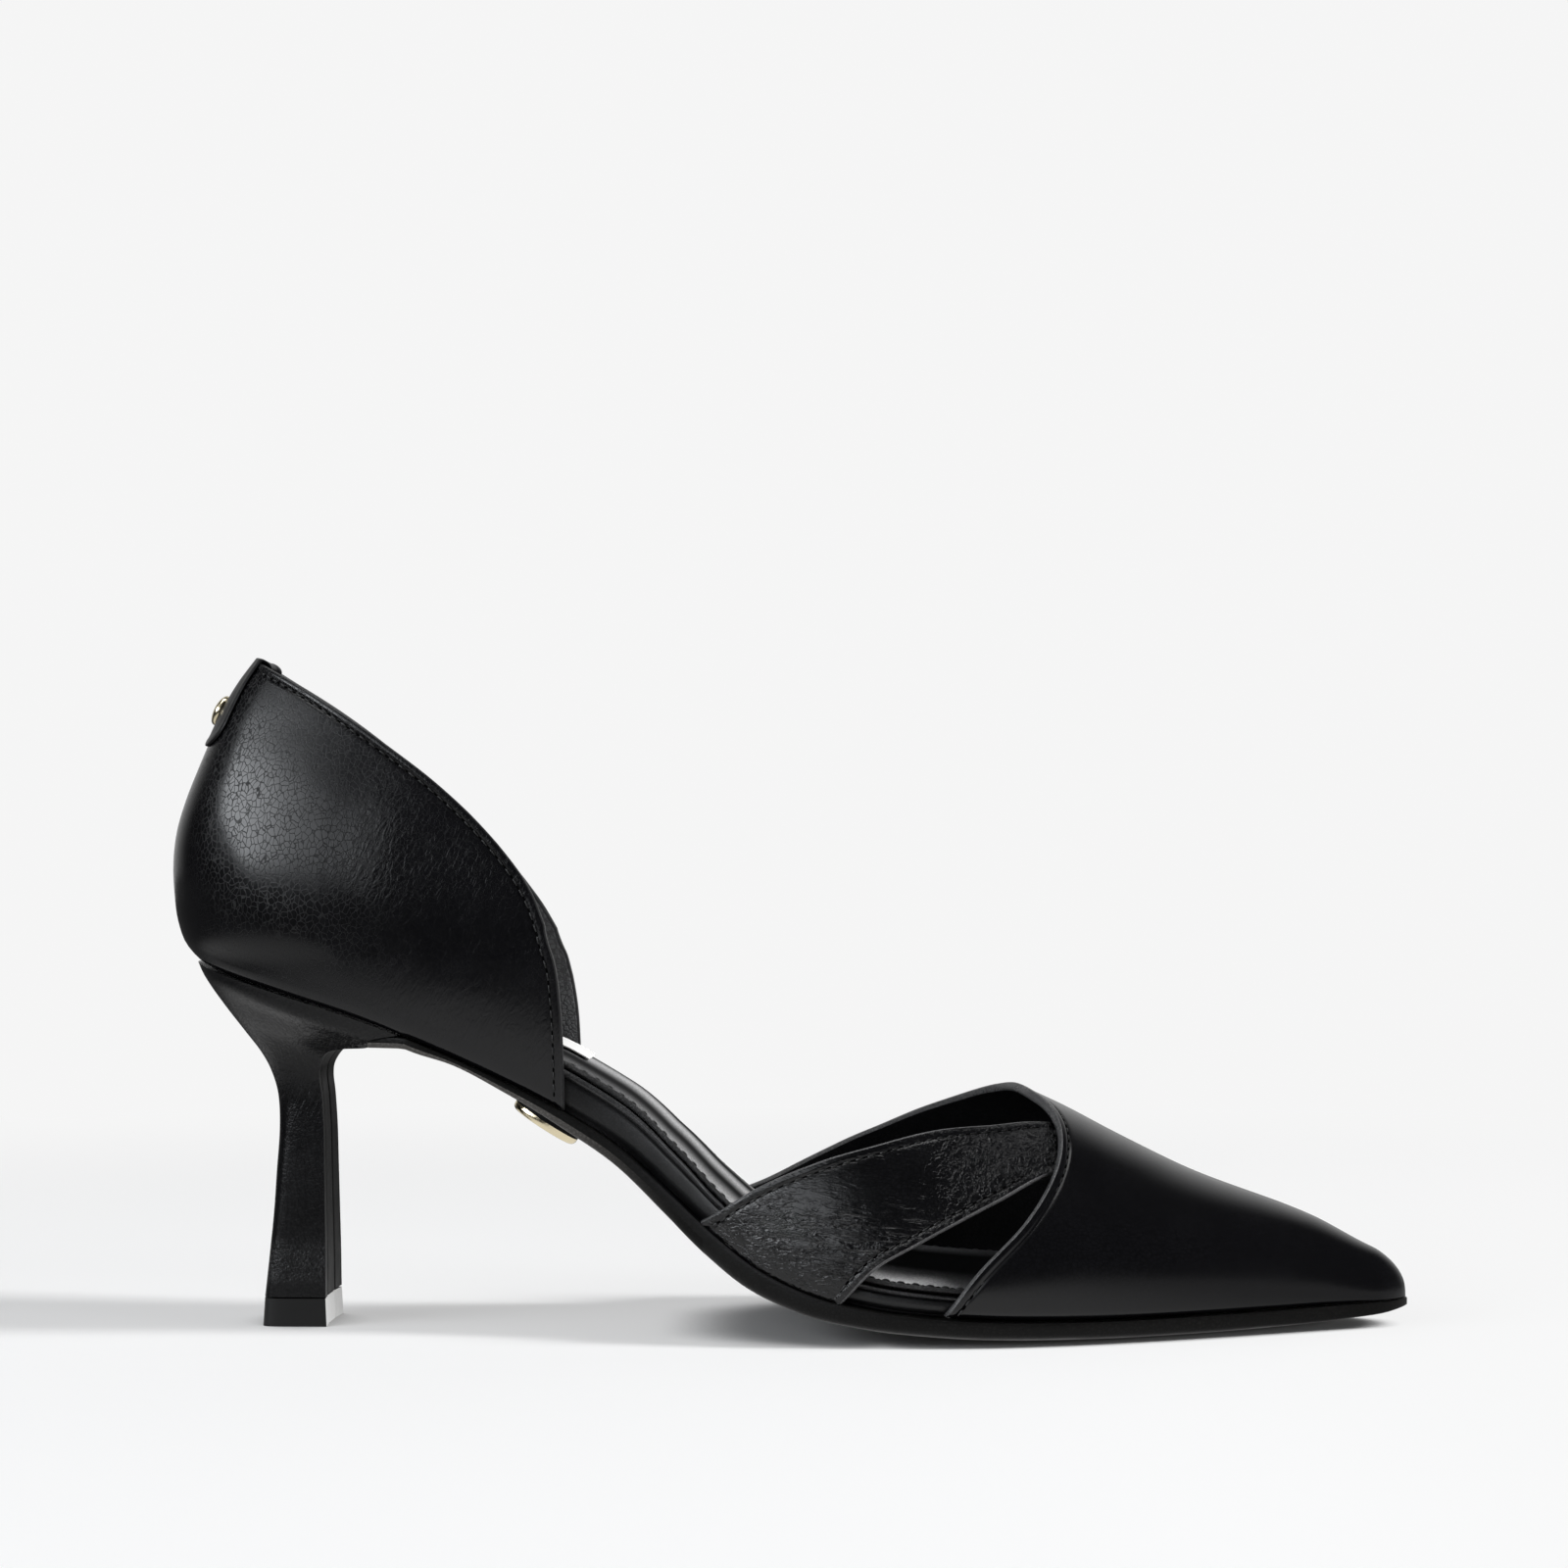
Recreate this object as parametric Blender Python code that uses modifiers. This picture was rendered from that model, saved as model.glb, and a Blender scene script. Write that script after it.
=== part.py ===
"""A right-foot pointed pump: d'Orsay quarter, crossover vamp, covered 70 mm heel.

Lengths are millimetres until a mesh is made. x runs forward from the back of the heel,
y from the outer side of the foot (minus) to the inner side (plus), and z up from the floor.
"""

import bisect
import math

import bmesh
import bpy
import numpy as np
from mathutils import Vector

# Driving dimensions
MM = 0.001
LENGTH = 243.5
GAP = 0.3
QUARTER_WALL = 2.0
VAMP_WALL = 1.6
STRAP_WALL = 1.5
TAB_WALL = 0.8
SOCK_THICKNESS = 2.2
LABEL_THICKNESS = 0.5
PITCH = 6.0
END_RUNS = (0.0, 0.6, 1.8, 3.8, 6.6, 10.0)
END_SETBACK = 0.1
MERGE_DISTANCE = 1e-6
SHARP_ANGLE = 40.0


class Table:
    """Rows under named columns. The first column is the station, in rising order."""

    def __init__(self, columns, *rows):
        values = np.array(rows, float).T
        self.columns = dict(zip(columns.split(), values.tolist()))
        self.stations = values[0].tolist()
        slopes = [np.gradient(column, values[0]).tolist() for column in values]
        self.slopes = dict(zip(columns.split(), slopes))

    def at(self, column, station):
        """Smooth curve through a column: cubic pieces that take their slopes from nearby rows."""
        stations = self.stations
        station = min(max(station, stations[0]), stations[-1])
        i = min(bisect.bisect_right(stations, station), len(stations) - 1) - 1
        run = stations[i + 1] - stations[i]
        t = (station - stations[i]) / run
        values = self.columns[column]
        slopes = self.slopes[column]
        start = (2 * t**3 - 3 * t**2 + 1) * values[i] + (t**3 - 2 * t**2 + t) * run * slopes[i]
        end = (3 * t**2 - 2 * t**3) * values[i + 1] + (t**3 - t**2) * run * slopes[i + 1]
        return start + end


# Seat line: the face on which the uppers and the insole stand
SEAT = Table(
    "x z",
    (0, 73.0),
    (12, 69.3),
    (26, 65.2),
    (40, 60.8),
    (54, 55.3),
    (68, 48.8),
    (80, 42.6),
    (90, 36.3),
    (100, 27.9),
    (108, 20.9),
    (116, 15.0),
    (126, 10.3),
    (138, 7.3),
    (152, 5.7),
    (176, 4.7),
    (212, 4.8),
    (244, 5.5),
)

# Plan outline at the seat: distance from the middle line to the outer and inner edges
PLAN = Table(
    "x outer inner",
    (38, 25.5, 25.5),
    (52, 24.8, 24.2),
    (66, 22.9, 21.4),
    (80, 21.6, 19.2),
    (92, 22.2, 19.6),
    (104, 26.0, 23.0),
    (116, 31.2, 28.2),
    (128, 35.2, 33.0),
    (140, 37.2, 36.2),
    (152, 37.3, 37.6),
    (166, 35.4, 37.0),
    (180, 31.4, 33.7),
    (194, 26.0, 28.4),
    (208, 19.8, 22.4),
    (222, 13.2, 16.0),
    (234, 7.8, 10.8),
    (244, 3.6, 6.8),
)
HEEL_SEAT_BACK = 5.0
HEEL_ROUND = 33.0
HEEL_HALF_WIDTH = 25.5
TIP_ROUND = 6.5
# How many times over an inset is taken off the length at the pointed tip
TIP_INSET = 1.3

# Ridge of the last over the forefoot, on the outside of the leather
RIDGE = Table(
    "x y z",
    (100, 4.0, 87.0),
    (110, 4.0, 79.5),
    (120, 4.0, 72.6),
    (130, 4.0, 66.2),
    (140, 4.0, 60.3),
    (150, 4.0, 54.4),
    (160, 3.9, 49.7),
    (168, 3.8, 46.4),
    (176, 3.6, 42.8),
    (187, 3.2, 37.1),
    (202, 2.7, 29.8),
    (218, 2.2, 22.9),
    (233, 1.8, 16.2),
    (244, 1.6, 12.2),
)
SECTION_POWER = 0.8
SIDE_SWELL = 1.2
SWELL_HEIGHT = 7.0
BALL_HALF_WIDTH = 37.0

# Quarter: its back seam, its front edge and its topline, seen from the side
BACK_SEAM = Table(
    "z x",
    (60, 5.0),
    (69, 5.0),
    (72, 4.4),
    (75, 2.4),
    (79, 1.0),
    (85, 0.2),
    (90.5, 0.0),
    (97, 0.7),
    (103, 2.4),
    (109, 4.7),
    (115, 7.2),
    (121, 10.0),
    (126, 12.9),
    (131, 16.6),
)
FRONT_EDGE = Table(
    "z outer inner",
    (40, 79.6, 79.6),
    (52, 79.6, 79.2),
    (63, 79.2, 78.3),
    (70.2, 78.4, 76.8),
    (77.4, 76.4, 74.2),
    (84, 76.0, 73.4),
    (131, 70.0, 67.0),
)
TOPLINE = Table(
    "x outer inner",
    (10, 131.6, 131.6),
    (16, 130.2, 130.2),
    (23, 127.0, 126.0),
    (31, 122.6, 120.6),
    (46, 112.2, 108.4),
    (56, 104.2, 99.0),
    (63, 97.5, 91.8),
    (68.7, 91.1, 85.0),
    (72.3, 86.4, 80.0),
    (74.6, 82.2, 75.6),
    (76.4, 77.4, 70.8),
    (78.5, 70.2, 62.4),
)
# Width of the quarter against its seat outline, by height over the seat
GIRTH = Table(
    "height heel waist",
    (0, 1.0, 1.0),
    (8, 1.035, 1.07),
    (17, 1.05, 1.12),
    (28, 1.02, 1.14),
    (40, 0.94, 1.10),
    (54, 0.82, 1.0),
    (70, 0.70, 0.88),
)
QUARTER_RUN = 74.5

# Back edge of the vamp: angle round the last, 0 at the outer seat and 180 at the inner seat
VAMP_EDGE = Table(
    "angle x",
    (0, 152.0),
    (10, 157.5),
    (25, 167.3),
    (40, 173.4),
    (55, 175.8),
    (70, 175.4),
    (80, 173.8),
    (90, 169.5),
    (109, 163.6),
    (125, 156.0),
    (136, 148.4),
    (146, 140.3),
    (154, 132.2),
    (162, 124.0),
    (170, 116.0),
    (176, 110.0),
    (180, 106.0),
)

# Strap: its two edges, from the seat to the end that is hidden under the vamp
STRAP = Table(
    "step upper_x upper_angle lower_x lower_angle dip",
    (0, 106.0, 0.0, 133.0, 0.0, 0.0),
    (1, 116.6, 13.0, 139.5, 8.6, 0.0),
    (2, 128.5, 24.2, 147.4, 15.6, 0.0),
    (3, 140.2, 34.0, 156.1, 23.8, 0.2),
    (4, 151.0, 45.2, 164.2, 32.4, 0.9),
    (5, 163.0, 58.0, 170.2, 40.6, 1.8),
    (6, 173.0, 71.0, 175.6, 48.0, 1.95),
    (7, 181.0, 82.0, 181.5, 57.0, 1.95),
)

# Outsole: thickness at its edge, and how far its middle stands below that edge
OUTSOLE = Table(
    "x thickness crown",
    (40, 1.0, 0.2),
    (54, 1.3, 0.4),
    (68, 1.7, 0.8),
    (80, 2.7, 1.1),
    (92, 3.1, 1.2),
    (104, 3.8, 1.4),
    (114, 4.1, 1.6),
    (126, 3.9, 1.9),
    (140, 3.4, 2.4),
    (156, 3.2, 2.6),
    (180, 3.0, 2.4),
    (212, 2.8, 2.0),
    (230, 2.5, 1.1),
    (238, 2.1, 0.5),
    (244, 1.2, 0.1),
)
OUTSOLE_START = 42.8
OUTSOLE_OUTSET = 0.25
# Insole board thickness along the foot
BOARD = Table(
    "x thickness",
    (0, 4.0),
    (50, 4.6),
    (78, 6.2),
    (92, 5.8),
    (108, 4.6),
    (140, 4.0),
    (200, 3.4),
    (244, 2.6),
)
BOARD_INSET = 2.5
BOARD_END = 236.0
SOCK_INSET = 3.0
SOCK_END = 230.0

# Cross-sections: share of the half width, share of the thickness
OUTSOLE_SECTION = (
    (-0.992, 1.0),
    (0.992, 1.0),
    (1.0, 0.8),
    (1.0, 0.45),
    (0.975, 0.1),
    (0.9, 0.0),
    (0.6, 0.0),
    (0.3, 0.0),
    (-0.3, 0.0),
    (-0.6, 0.0),
    (-0.9, 0.0),
    (-0.975, 0.1),
    (-1.0, 0.45),
    (-1.0, 0.8),
)
BOARD_SECTION = (
    (-1.0, 0.0),
    (-1.0, 0.82),
    (-0.98, 1.0),
    (0.98, 1.0),
    (1.0, 0.82),
    (1.0, 0.0),
)
SOCK_SECTION = (
    (-0.98, 0.0),
    (-1.0, 0.4),
    (-0.985, 0.7),
    (-0.94, 0.9),
    (-0.8, 0.98),
    (-0.4, 1.0),
    (0.4, 1.0),
    (0.8, 0.98),
    (0.94, 0.9),
    (0.985, 0.7),
    (1.0, 0.4),
    (0.98, 0.0),
)
LABEL_SECTION = (
    (-1.0, 0.0),
    (-1.0, 1.0),
    (1.0, 1.0),
    (1.0, 0.0),
)

# Heel: back and front of each level, half its width, and how much it has the seat's outline
HEEL = Table(
    "level back_x back_z front_x front_z half_width squareness seat_share",
    (0, 19.5, 5.7, 31.9, 5.7, 9.75, 9.0, 0.0),
    (1, 20.3, 14.0, 31.8, 14.0, 9.4, 8.0, 0.0),
    (2, 21.0, 22.0, 31.6, 22.0, 9.1, 7.0, 0.0),
    (3, 21.4, 30.0, 31.4, 30.0, 8.8, 6.0, 0.0),
    (4, 21.8, 38.0, 31.2, 38.0, 8.5, 5.0, 0.0),
    (5, 21.4, 44.5, 30.8, 44.4, 8.3, 4.2, 0.03),
    (6, 20.0, 49.2, 30.3, 48.4, 8.7, 3.6, 0.08),
    (7, 17.8, 53.2, 30.6, 51.0, 10.0, 3.2, 0.18),
    (8, 14.2, 57.8, 32.4, 53.5, 12.7, 3.0, 0.36),
    (9, 11.0, 61.9, 36.0, 54.4, 16.3, 3.0, 0.58),
    (10, 8.2, 65.6, 41.5, 54.9, 20.2, 3.0, 0.8),
    (11, 6.2, 68.7, 42.2, 56.4, 23.4, 3.0, 0.94),
    (12, 5.0, 71.2, 48.0, 57.5, 25.5, 3.0, 1.0),
)
HEEL_BREAST_HOLLOW = 0.5
LIP_UNDERSIDE = 56.2
TOP_PIECE_FLARE = 0.3

# Trim
TAB_LOW_Z = 114.0
TAB_LOW_TURN = 26.0
TAB_HIGH_TURN = 20.0
BACK_STUD_Z = 120.5
BACK_STUD_RADIUS = 3.2
BACK_STUD_HEIGHT = 1.9
SOLE_STUD_X = 75.2
SOLE_STUD_RADIUS = 7.2
SOLE_STUD_HEIGHT = 3.0
SOLE_STUD_NARROWING = 0.66
LABEL_FRONT = 83.2
LABEL_BACK = 55.2
LABEL_HALF_WIDTH = 7.5


def ease(t):
    t = min(max(t, 0.0), 1.0)
    return t * t * (3 - 2 * t)


def seat(x):
    return SEAT.at("z", x)


def upright(x, thickness):
    """Vertical height of a layer whose thickness is measured square to the seat line."""
    step = 0.5
    slope = (seat(x + step) - seat(x - step)) / (2 * step)
    return thickness * math.hypot(1.0, slope)


def round_share(run, length):
    """Half width of a rounded end against its full width, at a distance from the end."""
    t = min(max(run / length, 0.0), 1.0)
    return math.sqrt(1.0 - (1.0 - t) ** 2)


def plan_edges(x, inset=0.0):
    """y of the outer and inner edges of the plan outline, drawn in by inset."""
    round_end = HEEL_SEAT_BACK + HEEL_ROUND
    if x < round_end:
        share = round_share(x - HEEL_SEAT_BACK - inset, HEEL_ROUND - inset)
        half = (HEEL_HALF_WIDTH - inset) * share
        return -half, half
    outer = PLAN.at("outer", x)
    inner = PLAN.at("inner", x)
    middle = (inner - outer) / 2
    half = (inner + outer) / 2 - inset
    half *= round_share(LENGTH - TIP_INSET * inset - x, TIP_ROUND)
    return middle - half, middle + half


def last_rise(x):
    return (RIDGE.at("z", x) - seat(x)) * round_share(LENGTH - x, TIP_ROUND)


def last_point(x, angle):
    """Outside of the leather over the forefoot, at an angle round the section at x."""
    turn = math.radians(angle)
    edges = plan_edges(x)
    edge = edges[0] if angle < 90 else edges[1]
    height = last_rise(x) * math.sin(turn)
    middle = (edges[0] + edges[1]) / 2
    tip = round_share(LENGTH - x, TIP_ROUND)
    ridge_y = middle + (RIDGE.at("y", x) - middle) * tip
    reach = edge - ridge_y
    spread = abs(math.cos(turn))
    lift = height / SWELL_HEIGHT
    swell = SIDE_SWELL * reach / BALL_HALF_WIDTH * spread * lift * math.exp(1 - lift)
    return Vector((x, ridge_y + reach * spread**SECTION_POWER + swell, seat(x) + height))


def last_edges(x, height, inset):
    """y of the two sides of the room inside the upper, at a height over the seat."""
    outer, inner = plan_edges(x, inset)
    if x < RIDGE.stations[0]:
        return outer, inner
    angle = math.degrees(math.asin(min(height / last_rise(x), 1.0)))
    outer = max(outer, last_point(x, angle).y + inset)
    inner = min(inner, last_point(x, 180 - angle).y - inset)
    return outer, inner


def quarter_point(side, share, z):
    """Outside of the quarter: side -1 outer or 1 inner, share 0 at the back seam and 1 in front."""
    back = BACK_SEAM.at("x", z)
    run = share * (FRONT_EDGE.at("outer" if side < 0 else "inner", z) - back)
    x = back + run
    edges = plan_edges(HEEL_SEAT_BACK + run)
    edge = edges[0] if side < 0 else edges[1]
    height = max(z - seat(x), 0.0)
    waist = ease(run / QUARTER_RUN)
    heel_girth = GIRTH.at("heel", height)
    girth = heel_girth + (GIRTH.at("waist", height) - heel_girth) * waist
    return Vector((x, edge * girth, z))


def quarter_foot(side, share):
    """Height at which a column of the quarter meets the seat, closed in on from a first guess."""
    z = 60.0
    for _ in range(12):
        z = seat(quarter_point(side, share, z).x)
    return z


def quarter_head(side, share):
    """Height at which a column of the quarter meets the topline, closed in on likewise."""
    z = 100.0
    for _ in range(30):
        x = quarter_point(side, share, z).x
        z += 0.5 * (TOPLINE.at("outer" if side < 0 else "inner", x) - z)
    return z


def turn_share(turn):
    """Column of the quarter at an angle round the heel's back, in degrees."""
    return HEEL_ROUND * (1 - math.cos(math.radians(turn))) / QUARTER_RUN


def quarter_normal(side, share, z):
    """Outward direction of the quarter's face."""
    share_step = 0.004
    z_step = 0.2
    along_seat = quarter_point(side, share + share_step, z) - quarter_point(side, share, z)
    up = quarter_point(side, share, z + z_step) - quarter_point(side, share, z - z_step)
    return (along_seat.cross(up) * -side).normalized()


def last_normal(x, angle):
    """Outward direction of the forefoot's face."""
    x_step = 0.2
    turn_step = 0.5
    forward = last_point(x + x_step, angle) - last_point(x - x_step, angle)
    around = last_point(x, angle + turn_step) - last_point(x, angle - turn_step)
    return forward.cross(around).normalized()


# Objects, meshes and materials


def clear_scene():
    for obj in list(bpy.data.objects):
        bpy.data.objects.remove(obj)


def finish_material(name, colour, roughness, metallic=0.0):
    material = bpy.data.materials.new(name)
    material.use_nodes = True
    shader = material.node_tree.nodes["Principled BSDF"]
    shader.inputs["Base Color"].default_value = (*colour, 1.0)
    shader.inputs["Roughness"].default_value = roughness
    shader.inputs["Metallic"].default_value = metallic
    return material


def add_object(name, bm, material, parent):
    """A smooth-shaded object in the shoe's collection, carried by the parent empty."""
    mesh = bpy.data.meshes.new(name)
    bm.to_mesh(mesh)
    bm.free()
    mesh.shade_smooth()
    mesh.set_sharp_from_angle(angle=math.radians(SHARP_ANGLE))
    mesh.materials.append(material)
    obj = bpy.data.objects.new(name, mesh)
    parent.users_collection[0].objects.link(obj)
    obj.parent = parent
    return obj


def grid_mesh(rows, inside):
    """An open surface through rows of points, facing away from the inside point."""
    bm = bmesh.new()
    verts = [[bm.verts.new(point * MM) for point in row] for row in rows]
    for low, high in zip(verts, verts[1:]):
        for i in range(len(low) - 1):
            bm.faces.new((low[i], low[i + 1], high[i + 1], high[i]))
    bmesh.ops.remove_doubles(bm, verts=bm.verts, dist=MERGE_DISTANCE)
    bm.normal_update()
    facing = sum(f.normal.dot(f.calc_center_median() - inside * MM) for f in bm.faces)
    if facing < 0:
        bmesh.ops.reverse_faces(bm, faces=bm.faces)
    return bm


def shell(name, rows, inside, wall, material, parent, offset=-1.0):
    """A wall: an open surface thickened inwards, or outwards with offset 1."""
    obj = add_object(name, grid_mesh(rows, inside), material, parent)
    solidify = obj.modifiers.new("wall", "SOLIDIFY")
    solidify.thickness = wall * MM
    solidify.offset = offset
    solidify.use_even_offset = True
    solidify.use_quality_normals = True
    return obj


def loft(name, rings, material, parent):
    """A closed solid through rings that have the same number of points, with flat ends."""
    bm = bmesh.new()
    loops = [[bm.verts.new(point * MM) for point in ring] for ring in rings]
    count = len(loops[0])
    for low, high in zip(loops, loops[1:]):
        for i in range(count):
            j = (i + 1) % count
            bm.faces.new((low[i], low[j], high[j], high[i]))
    for loop in (loops[0], loops[-1]):
        half = count // 2
        for i in range(half - 1):
            corners = (loop[i], loop[i + 1], loop[-2 - i], loop[-1 - i])
            bm.faces.new(corners)
    bmesh.ops.recalc_face_normals(bm, faces=bm.faces)
    return add_object(name, bm, material, parent)


def stations(start, end, round_start=False, round_end=False):
    """x from start to end on a pitch that all layers share, closer together in rounded ends."""
    head = [start + run for run in END_RUNS] if round_start else [start]
    tail = [end - run for run in reversed(END_RUNS)] if round_end else [end]
    first = math.floor(head[-1] / PITCH) + 1
    final = math.ceil(tail[0] / PITCH) - 1
    shared = [PITCH * i for i in range(first, final + 1)]
    shared = [x for x in shared if x - head[-1] > 1 and tail[0] - x > 1]
    return head + shared + tail


# Sole


def outsole_top(x):
    return min(seat(x), LIP_UNDERSIDE) - GAP


def outsole_bottom(x, across):
    depth = upright(x, OUTSOLE.at("thickness", x)) + OUTSOLE.at("crown", x) * (1 - across**2)
    return max(outsole_top(x) - depth, 0.0)


def outsole_ring(x):
    outer, inner = plan_edges(x, -OUTSOLE_OUTSET)
    middle = (outer + inner) / 2
    half = (inner - outer) / 2
    top = outsole_top(x)
    ring = []
    for across, up in OUTSOLE_SECTION:
        low = outsole_bottom(x, across)
        ring.append(Vector((x, middle + half * across, low + (top - low) * up)))
    return ring


def make_outsole(parent):
    material = finish_material("sole_edge", (0.012, 0.012, 0.013), 0.42)
    tip = LENGTH + OUTSOLE_OUTSET - END_SETBACK
    rings = [outsole_ring(x) for x in stations(OUTSOLE_START, tip, round_end=True)]
    return loft("outsole", rings, material, parent)


def board_top(x):
    return seat(x) + upright(x, BOARD.at("thickness", x))


def layer_ring(x, base, height, edges, section):
    """One cross-section of a flat layer: shares of its half width and of its height."""
    middle = (edges[0] + edges[1]) / 2
    half = (edges[1] - edges[0]) / 2
    return [Vector((x, middle + half * across, base + height * up)) for across, up in section]


def make_board(parent):
    material = finish_material("wrapped_edge", (0.011, 0.011, 0.012), 0.3)
    start = HEEL_SEAT_BACK + BOARD_INSET + END_SETBACK
    rings = []
    for x in stations(start, BOARD_END, round_start=True):
        base = seat(x)
        height = board_top(x) - base
        edges = last_edges(x, height, BOARD_INSET)
        rings.append(layer_ring(x, base, height, edges, BOARD_SECTION))
    return loft("insole_board", rings, material, parent)


def sock_top(x):
    return board_top(x) + GAP + upright(x, SOCK_THICKNESS)


def make_sock(parent):
    material = finish_material("sock_leather", (0.014, 0.014, 0.015), 0.5)
    start = HEEL_SEAT_BACK + SOCK_INSET + END_SETBACK
    rings = []
    for x in stations(start, SOCK_END, round_start=True):
        base = board_top(x) + GAP
        height = sock_top(x) - base
        edges = last_edges(x, sock_top(x) - seat(x), SOCK_INSET)
        rings.append(layer_ring(x, base, height, edges, SOCK_SECTION))
    return loft("sock", rings, material, parent)


def make_label(parent):
    material = finish_material("label_white", (0.8, 0.8, 0.79), 0.5)
    edges = (-LABEL_HALF_WIDTH, LABEL_HALF_WIDTH)
    rings = []
    for x in stations(LABEL_BACK, LABEL_FRONT):
        base = sock_top(x) + GAP
        rings.append(layer_ring(x, base, LABEL_THICKNESS, edges, LABEL_SECTION))
    return loft("sock_label", rings, material, parent)


# Upper


def make_quarter(parent):
    material = finish_material("quarter_leather", (0.013, 0.013, 0.015), 0.42)
    round_end = turn_share(90)
    one_side = [turn_share(turn) for turn in range(0, 90, 10)]
    one_side += [round_end + (1 - round_end) * i / 8 for i in range(9)]
    columns = [(-1, share) for share in reversed(one_side)] + [(1, share) for share in one_side[1:]]
    levels = 13
    rows = []
    for level in range(levels + 1):
        row = []
        for side, share in columns:
            foot = quarter_foot(side, share)
            head = quarter_head(side, share)
            row.append(quarter_point(side, share, foot + (head - foot) * level / levels))
        rows.append(row)
    inside = Vector((45, 0, 85))
    return shell("quarter", rows, inside, QUARTER_WALL, material, parent)


def make_vamp(parent):
    material = finish_material("vamp_leather", (0.012, 0.012, 0.013), 0.34)
    columns = 40
    steps = 20
    rows = []
    for i in range(steps + 1):
        share = math.sin(math.pi / 2 * i / steps)
        row = []
        for j in range(columns + 1):
            angle = 180 * j / columns
            edge = VAMP_EDGE.at("x", angle)
            row.append(last_point(edge + (LENGTH - edge) * share, angle))
        rows.append(row)
    inside = Vector((185, 0, 8))
    return shell("vamp", rows, inside, VAMP_WALL, material, parent)


def strap_point(step, share):
    """Outside of the strap: step along its length, share 0 on its upper edge and 1 on its lower."""
    upper = STRAP.at("upper_x", step), STRAP.at("upper_angle", step)
    lower = STRAP.at("lower_x", step), STRAP.at("lower_angle", step)
    x = upper[0] + (lower[0] - upper[0]) * share
    angle = upper[1] + (lower[1] - upper[1]) * share
    lowest_turn = 1.0
    inward = last_normal(x, max(angle, lowest_turn)) * -STRAP.at("dip", step)
    return last_point(x, angle) + inward


def make_strap(parent):
    material = finish_material("strap_leather", (0.013, 0.013, 0.014), 0.38)
    steps = 20
    across = 7
    last_step = STRAP.stations[-1]
    rows = []
    for i in range(steps + 1):
        step = last_step * i / steps
        rows.append([strap_point(step, j / across) for j in range(across + 1)])
    inside = Vector((150, 5, 10))
    return shell("strap", rows, inside, STRAP_WALL, material, parent)


# Heel


def heel_ring(back, front, half_width, squareness, seat_share):
    """One level of the heel: squared in the stem, spreading to the seat's outline at the top."""
    per_side = 11
    near = []
    for i in range(per_side + 1):
        t = (1 - math.cos(math.pi * i / per_side)) / 2
        square = (1 - (1 - t) ** squareness) ** (1 / squareness)
        lip = plan_edges(HEEL_SEAT_BACK + t * (HEEL.columns["front_x"][-1] - HEEL_SEAT_BACK))[1]
        y = half_width * (square + (lip / HEEL_HALF_WIDTH - square) * seat_share)
        point = back.lerp(front, t)
        near.append(Vector((point.x, -y, point.z)))
    hollow = Vector((HEEL_BREAST_HOLLOW * (1 - seat_share), 0, 0))
    middle = [Vector((front.x, near[-1].y * s, front.z)) - hollow * (1 - s * s) for s in (0.5, 0.0)]
    half = near + middle
    mirrored = [Vector((p.x, -p.y, p.z)) for p in reversed(half[1:-1])]
    return half + mirrored


def make_heel(parent):
    material = finish_material("heel_leather", (0.013, 0.013, 0.014), 0.45)
    rings = []
    for level in range(len(HEEL.stations)):
        row = {name: column[level] for name, column in HEEL.columns.items()}
        back = Vector((row["back_x"], 0, row["back_z"]))
        front = Vector((row["front_x"], 0, row["front_z"]))
        rings.append(heel_ring(back, front, row["half_width"], row["squareness"], row["seat_share"]))
    for point in rings[-1]:
        point.z = seat(point.x) - GAP
    return loft("heel", rings, material, parent)


def make_top_piece(parent):
    material = finish_material("top_piece_rubber", (0.012, 0.012, 0.012), 0.5)
    rings = []
    for z, flare in ((0.0, TOP_PIECE_FLARE), (HEEL.columns["back_z"][0] - GAP, 0.0)):
        back = Vector((HEEL.columns["back_x"][0] - flare, 0, z))
        front = Vector((HEEL.columns["front_x"][0] + flare, 0, z))
        half_width = HEEL.columns["half_width"][0] + flare
        rings.append(heel_ring(back, front, half_width, HEEL.columns["squareness"][0], 0.0))
    return loft("top_piece", rings, material, parent)


# Trim


def tab_path(turn):
    """One strip of the heel tab: up the outside and over the rim."""
    side = -1 if turn < 0 else 1
    share = turn_share(abs(turn))
    head = quarter_head(side, share)
    middle = -QUARTER_WALL / 2
    reach = QUARTER_WALL / 2 + GAP
    path = []
    for i in range(8):
        z = TAB_LOW_Z + (head - TAB_LOW_Z) * i / 7
        path.append(quarter_point(side, share, z) + quarter_normal(side, share, z) * GAP)
    rim = quarter_point(side, share, head)
    outward = quarter_normal(side, share, head)
    up = (rim - quarter_point(side, share, head - 0.5)).normalized()
    for bend in (35, 70):
        turned = math.radians(bend)
        over = outward * (middle + reach * math.cos(turned)) + up * reach * math.sin(turned)
        path.append(rim + over)
    return path


def make_heel_tab(parent):
    material = finish_material("tab_leather", (0.012, 0.012, 0.013), 0.4)
    strips = 10
    rows = []
    for i in range(strips + 1):
        across = 2 * i / strips - 1
        low = tab_path(across * TAB_LOW_TURN)
        high = tab_path(across * TAB_HIGH_TURN)
        rows.append([a.lerp(b, ease(k / (len(low) - 1))) for k, (a, b) in enumerate(zip(low, high))])
    inside = quarter_point(1, 0.0, BACK_STUD_Z) + Vector((1, 0, 0))
    return shell("heel_tab", rows, inside, TAB_WALL, material, parent, offset=1.0)


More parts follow.
